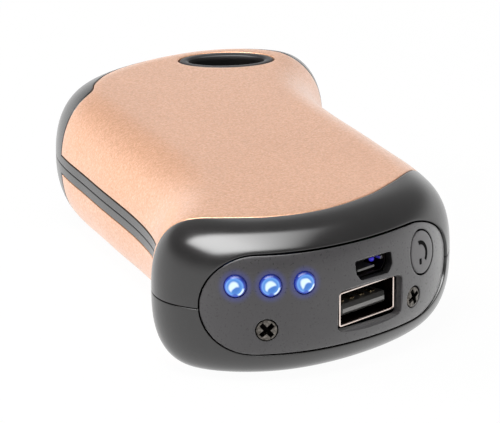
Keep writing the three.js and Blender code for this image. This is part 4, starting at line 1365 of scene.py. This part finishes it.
def charge_socket():
    where = square_on(micro_place())
    # The sleeve takes the dark finish all over: painted shade
    socket_sleeve(micro_shape(), MICRO_SHEET, MICRO_SINK, MICRO_LENGTH, where, "charge_socket_shell",
                  look="socket_dark")
    back = MICRO_SINK + MICRO_LENGTH - MICRO_SHEET - GAP
    block = loft(micro_shape(-MICRO_SHEET - GAP), [(0, back - MICRO_BLOCK_LENGTH), (0, back)], where)
    front = MICRO_SINK + MICRO_TONGUE_SINK
    drop = Vector((0, -MICRO_TONGUE_DROP))
    tongue = loft(rectangle(MICRO_TONGUE_WIDTH, MICRO_TONGUE_HEIGHT, MICRO_TONGUE_HEIGHT / 4),
                  [(0, front), (0, back)], lambda at, depth: where(at + drop, depth))
    piece = finish(joined([block, tongue]), "charge_socket_tongue_moulding", node="charge_socket_tongue",
                   slot="socket_tongue")
    nose_finish(piece, where, front)
    tab = loft(rectangle(MICRO_TAB, MICRO_TAB, MICRO_TAB / 4),
               [(0, MICRO_SINK + MICRO_TAB / 2), (0, MICRO_SINK + 3 * MICRO_TAB)],
               lambda at, depth: where(at + Vector(MICRO_TAB_PLACE), depth))
    finish(tab, "charge_socket_tab", slot="contact_brass", look="solder")
    bead = bmesh.new()
    bmesh.ops.create_icosphere(bead, subdivisions=3, radius=BEAD_RADIUS)
    bmesh.ops.translate(bead, verts=bead.verts, vec=where(Vector(BEAD_PLACE), MICRO_SINK + BEAD_SINK))
    finish(bead, "charge_socket_painted_glint_bead", slot="lens_blue", look="painted_blue_glint")


# Power button: its cap follows the plate's curve, and a power sign is laid into it

def power_button():
    place = plate_place(BUTTON_SHARES)
    inner = [(-BUTTON_RADIUS * (1 - i / DOME_STEPS), PLATE_SINK) for i in range(1, DOME_STEPS)]
    cap = loft(disc(BUTTON_RADIUS), [*inner, *rounded_in(BUTTON_EDGE_RADIUS, PLATE_SINK), (0, BUTTON_DEPTH)],
               following(place))
    flange = loft(disc(BUTTON_FLANGE_RADIUS),
                  [(0, BUTTON_FLANGE_SINK), (0, BUTTON_FLANGE_SINK + BUTTON_FLANGE)], square_on(place))
    finish(joined([cap, flange]), "power_button_cap", body="button", node="power_button", slot="button_grey")
    on_cap = following(place)
    for name, bm in (("arc", sign_arc()), ("bar", sign_bar())):
        bmesh.ops.recalc_face_normals(bm, faces=bm.faces)
        move_to(bm.verts, lambda v: on_cap(v.co.xy + SIGN_MIDDLE, PLATE_SINK - v.co.z))
        finish(bm, "power_sign_" + name, body="button", slot="satin_black", look="sign_ink")


def sign_arc():
    """An open ring, swept from a small upright rectangle."""
    bm = bmesh.new()
    bmesh.ops.create_grid(bm, x_segments=2, y_segments=1, size=0.5)
    bmesh.ops.rotate(bm, verts=bm.verts, matrix=Matrix.Rotation(math.pi / 2, 3, "X"))
    bmesh.ops.scale(bm, verts=bm.verts, vec=(SIGN_STROKE, 1, 2 * SIGN_RISE))
    bmesh.ops.translate(bm, verts=bm.verts, vec=(SIGN_RADIUS, 0, 0))
    bmesh.ops.rotate(bm, verts=bm.verts, matrix=Matrix.Rotation(SIGN_START, 3, "Z"))
    bmesh.ops.spin(bm, geom=[*bm.verts, *bm.edges, *bm.faces], axis=(0, 0, 1), angle=SIGN_TURN,
                   steps=ARC_STEPS, use_merge=False)
    return bm


def sign_bar():
    bm = bmesh.new()
    bmesh.ops.create_cube(bm, size=1)
    bmesh.ops.scale(bm, verts=bm.verts, vec=(SIGN_STROKE, SIGN_BAR, 2 * SIGN_RISE))
    bmesh.ops.bevel(bm, geom=[e for e in bm.edges if abs(e.verts[0].co.z - e.verts[1].co.z) > SIGN_RISE],
                    offset=SIGN_STROKE / 4, segments=3, profile=0.5, affect="EDGES", material=-1)
    bmesh.ops.translate(bm, verts=bm.verts, vec=SIGN_BAR_PLACE)
    return bm


gold_panels()
lanyard_eyelet()
shells()
port_plate()
light_lenses()
plate_screws()
outlet_socket()
charge_socket()
power_button()

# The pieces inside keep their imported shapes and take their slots' finishes
for row in frame["record"]["subparts"]:
    node = frame["nodes"][row["node"]]
    for held in node.material_slots:
        held.material = FINISHES[row["material_slot"]]


# Studio: a pale floor, a softbox overhead that shows in gloss, and three lamps that light matt skins

FLOOR_HALF = 2.5
FLOOR_DROP = 0.0001
FLOOR_WHITE_SHARE = 0.965
WORLD_FILL = 0.5
# Heights on the unit sphere where the white backdrop ends and the dim room begins
BACKDROP_TOP = 0.08
ROOM_TOP = 0.45
ROOM_DIM = 0.3
# The softbox's size and place in metres, and its levels from left to right
SOFTBOX_SIZE = (1.24, 0.98)
SOFTBOX_PLACE = (-0.17, -0.23, 0.8)
SOFTBOX_RADIANCE = 8.2
SOFTBOX_EDGE = 0.16
SOFTBOX_ALONG = ((0.0, 0.3), (0.12, 0.9), (0.25, 1.0), (0.5, 0.95), (0.63, 0.72),
                 (0.78, 0.46), (0.9, 0.26), (1.0, 0.05))
# The lamps aim at the object's middle; each has its place and size in metres and its radiance
MIDDLE = Vector((0.0, 0.0, 0.012))
LAMPS = {
    "overhead_light": ((-0.25, -0.3, 0.8), (0.34, 0.24), 14.0),
    "left_light": ((-0.9, 0.3, 0.35), (0.6, 0.6), 7.0),
    "front_light": ((0.55, -0.7, 0.25), (0.4, 0.3), 1.2),
}
# The camera's place in millimetres, its turns in degrees, and its focal length by its sensor's width
CAMERA_PLACE = (-181.9, -547.05, 183.9)
CAMERA_AZIMUTH = 18.5
CAMERA_ELEVATION = 16.84
CAMERA_ROLL = -0.31
CAMERA_REACH = 20
SENSOR_WIDTH = 36.0
FOCAL_SHARE = 7.0
WHITE = (1.0, 1.0, 1.0, 1.0)


def backdrop_floor():
    """Matt white card, grained like paper; the camera sees most of it as plain white."""
    made, tree, place = new_finish("matt_white_card")
    fibre = add(tree, "TexNoise", {"Vector": place, "Scale": every(1.5), "Detail": 3.0}).outputs["Fac"]
    bump = add(tree, "Bump", {"Height": fibre, "Distance": 0.02 * MM, "Strength": 1.0})
    tone = add(tree, "ValToRGB", {"Fac": fibre}, stops=[(0.3, "F4F4F3"), (0.7, "FAFAF9")])
    card = add(tree, "BsdfPrincipled", {
        "Base Color": tone.outputs["Color"],
        "Roughness": 0.9,
        "Specular IOR Level": 0.2,
        "Normal": bump.outputs["Normal"],
    })
    white = add(tree, "Emission", {"Color": WHITE, "Strength": 1.0})
    share = add(tree, "Math", {0: seen_white(tree), 1: FLOOR_WHITE_SHARE}, operation="MULTIPLY")
    seen = add(tree, "MixShader", {0: share.outputs[0], 1: card.outputs[0], 2: white.outputs[0]})
    add(tree, "OutputMaterial", {"Surface": seen.outputs[0]})
    bm = bmesh.new()
    bmesh.ops.create_grid(bm, x_segments=8, y_segments=8, size=FLOOR_HALF)
    bmesh.ops.translate(bm, verts=bm.verts, vec=(0, 0, -FLOOR_DROP))
    mesh = bpy.data.meshes.new("floor")
    bm.to_mesh(mesh)
    bm.free()
    mesh.materials.append(made)
    floor = new_object("floor", mesh)


def seen_white(tree):
    """One for rays from the camera, from gloss and through glass, and nought for scattered light."""
    path = add(tree, "LightPath").outputs
    either = add(tree, "Math", {0: path["Is Camera Ray"], 1: path["Is Glossy Ray"]}, operation="MAXIMUM")
    seen = add(tree, "Math", {0: either.outputs[0], 1: path["Is Transmission Ray"]}, operation="MAXIMUM")
    return seen.outputs[0]


def studio_world():
    """White all round; gloss sees the backdrop as white and the room above it as dim."""
    world = bpy.data.worlds.new("studio")
    bpy.context.scene.world = world
    world.use_nodes = True
    tree = world.node_tree
    tree.nodes.clear()
    fill = add(tree, "Background", {"Color": WHITE, "Strength": WORLD_FILL})
    white = add(tree, "Background", {"Color": WHITE, "Strength": 1.0})
    upward = add(tree, "SeparateXYZ", {0: add(tree, "TexCoord").outputs["Generated"]}).outputs["Z"]
    room = add(tree, "MapRange", {"Value": upward, "From Min": BACKDROP_TOP, "From Max": ROOM_TOP,
                                  "To Min": 1.0, "To Max": ROOM_DIM}, interpolation_type="SMOOTHSTEP")
    seen_room = add(tree, "Background", {"Color": WHITE, "Strength": room.outputs["Result"]})
    camera_ray = add(tree, "LightPath").outputs["Is Camera Ray"]
    scattered = add(tree, "MixShader", {0: seen_white(tree), 1: fill.outputs[0], 2: seen_room.outputs[0]})
    mixed = add(tree, "MixShader", {0: camera_ray, 1: scattered.outputs[0], 2: white.outputs[0]})
    add(tree, "OutputWorld", {"Surface": mixed.outputs[0]})


def area_lamp(name, place, size, radiance):
    """A rectangular lamp that faces straight down, as bright as its radiance from every side."""
    data = bpy.data.lights.new(name, "AREA")
    data.shape = "RECTANGLE"
    data.size, data.size_y = size
    data.energy = radiance * math.pi * size[0] * size[1]
    lamp = new_object(name, data)
    lamp.location = place
    return lamp


def soft_lamps():
    """The lamps that light matt skins and aren't seen in gloss."""
    for name, (place, size, radiance) in LAMPS.items():
        lamp = area_lamp(name, place, size, radiance)
        lamp.rotation_euler = (MIDDLE - Vector(place)).to_track_quat("-Z", "Y").to_euler()
        lamp.visible_glossy = False


def overhead_softbox():
    """The large softbox overhead, as gloss sees it: brightest at its left, with soft edges."""
    lamp = area_lamp("overhead_softbox", SOFTBOX_PLACE, SOFTBOX_SIZE, 1.0)
    lamp.visible_diffuse = False
    lamp.data.use_nodes = True
    tree = lamp.data.node_tree
    tree.nodes.clear()
    spot = add(tree, "SeparateXYZ", {0: add(tree, "NewGeometry").outputs["Parametric"]}).outputs
    levels = [(place, (level, level, level, 1.0)) for place, level in SOFTBOX_ALONG]
    along = add(tree, "ValToRGB", {"Fac": spot["X"]}, stops=levels)
    near_edge = add(tree, "MapRange", {"Value": spot["Y"], "From Max": SOFTBOX_EDGE},
                    interpolation_type="SMOOTHSTEP")
    far_edge = add(tree, "MapRange", {"Value": spot["Y"], "From Min": 1.0 - SOFTBOX_EDGE,
                                      "To Min": 1.0, "To Max": 0.0}, interpolation_type="SMOOTHSTEP")
    both = {0: near_edge.outputs["Result"], 1: far_edge.outputs["Result"]}
    edges = add(tree, "Math", both, operation="MULTIPLY")
    level = add(tree, "Math", {0: edges.outputs[0], 1: along.outputs["Color"]}, operation="MULTIPLY")
    strength = add(tree, "Math", {0: level.outputs[0], 1: SOFTBOX_RADIANCE}, operation="MULTIPLY")
    glow = add(tree, "Emission", {"Strength": strength.outputs[0]})
    add(tree, "OutputLight", {"Surface": glow.outputs[0]})


def camera():
    """Stands where the photograph was taken from."""
    data = bpy.data.cameras.new("camera")
    data.sensor_width = SENSOR_WIDTH
    data.lens = SENSOR_WIDTH * FOCAL_SHARE
    data.clip_end = CAMERA_REACH
    seen = new_object("camera", data)
    seen.location = Vector(CAMERA_PLACE) * MM
    tilt = Matrix.Rotation(math.radians(-CAMERA_AZIMUTH), 4, "Z")
    tilt @= Matrix.Rotation(math.radians(90 - CAMERA_ELEVATION), 4, "X")
    tilt @= Matrix.Rotation(math.radians(CAMERA_ROLL), 4, "Z")
    seen.rotation_euler = tilt.to_euler()
    bpy.context.scene.camera = seen


backdrop_floor()
studio_world()
overhead_softbox()
soft_lamps()
camera()
bpy.context.scene.view_settings.view_transform = "Standard"
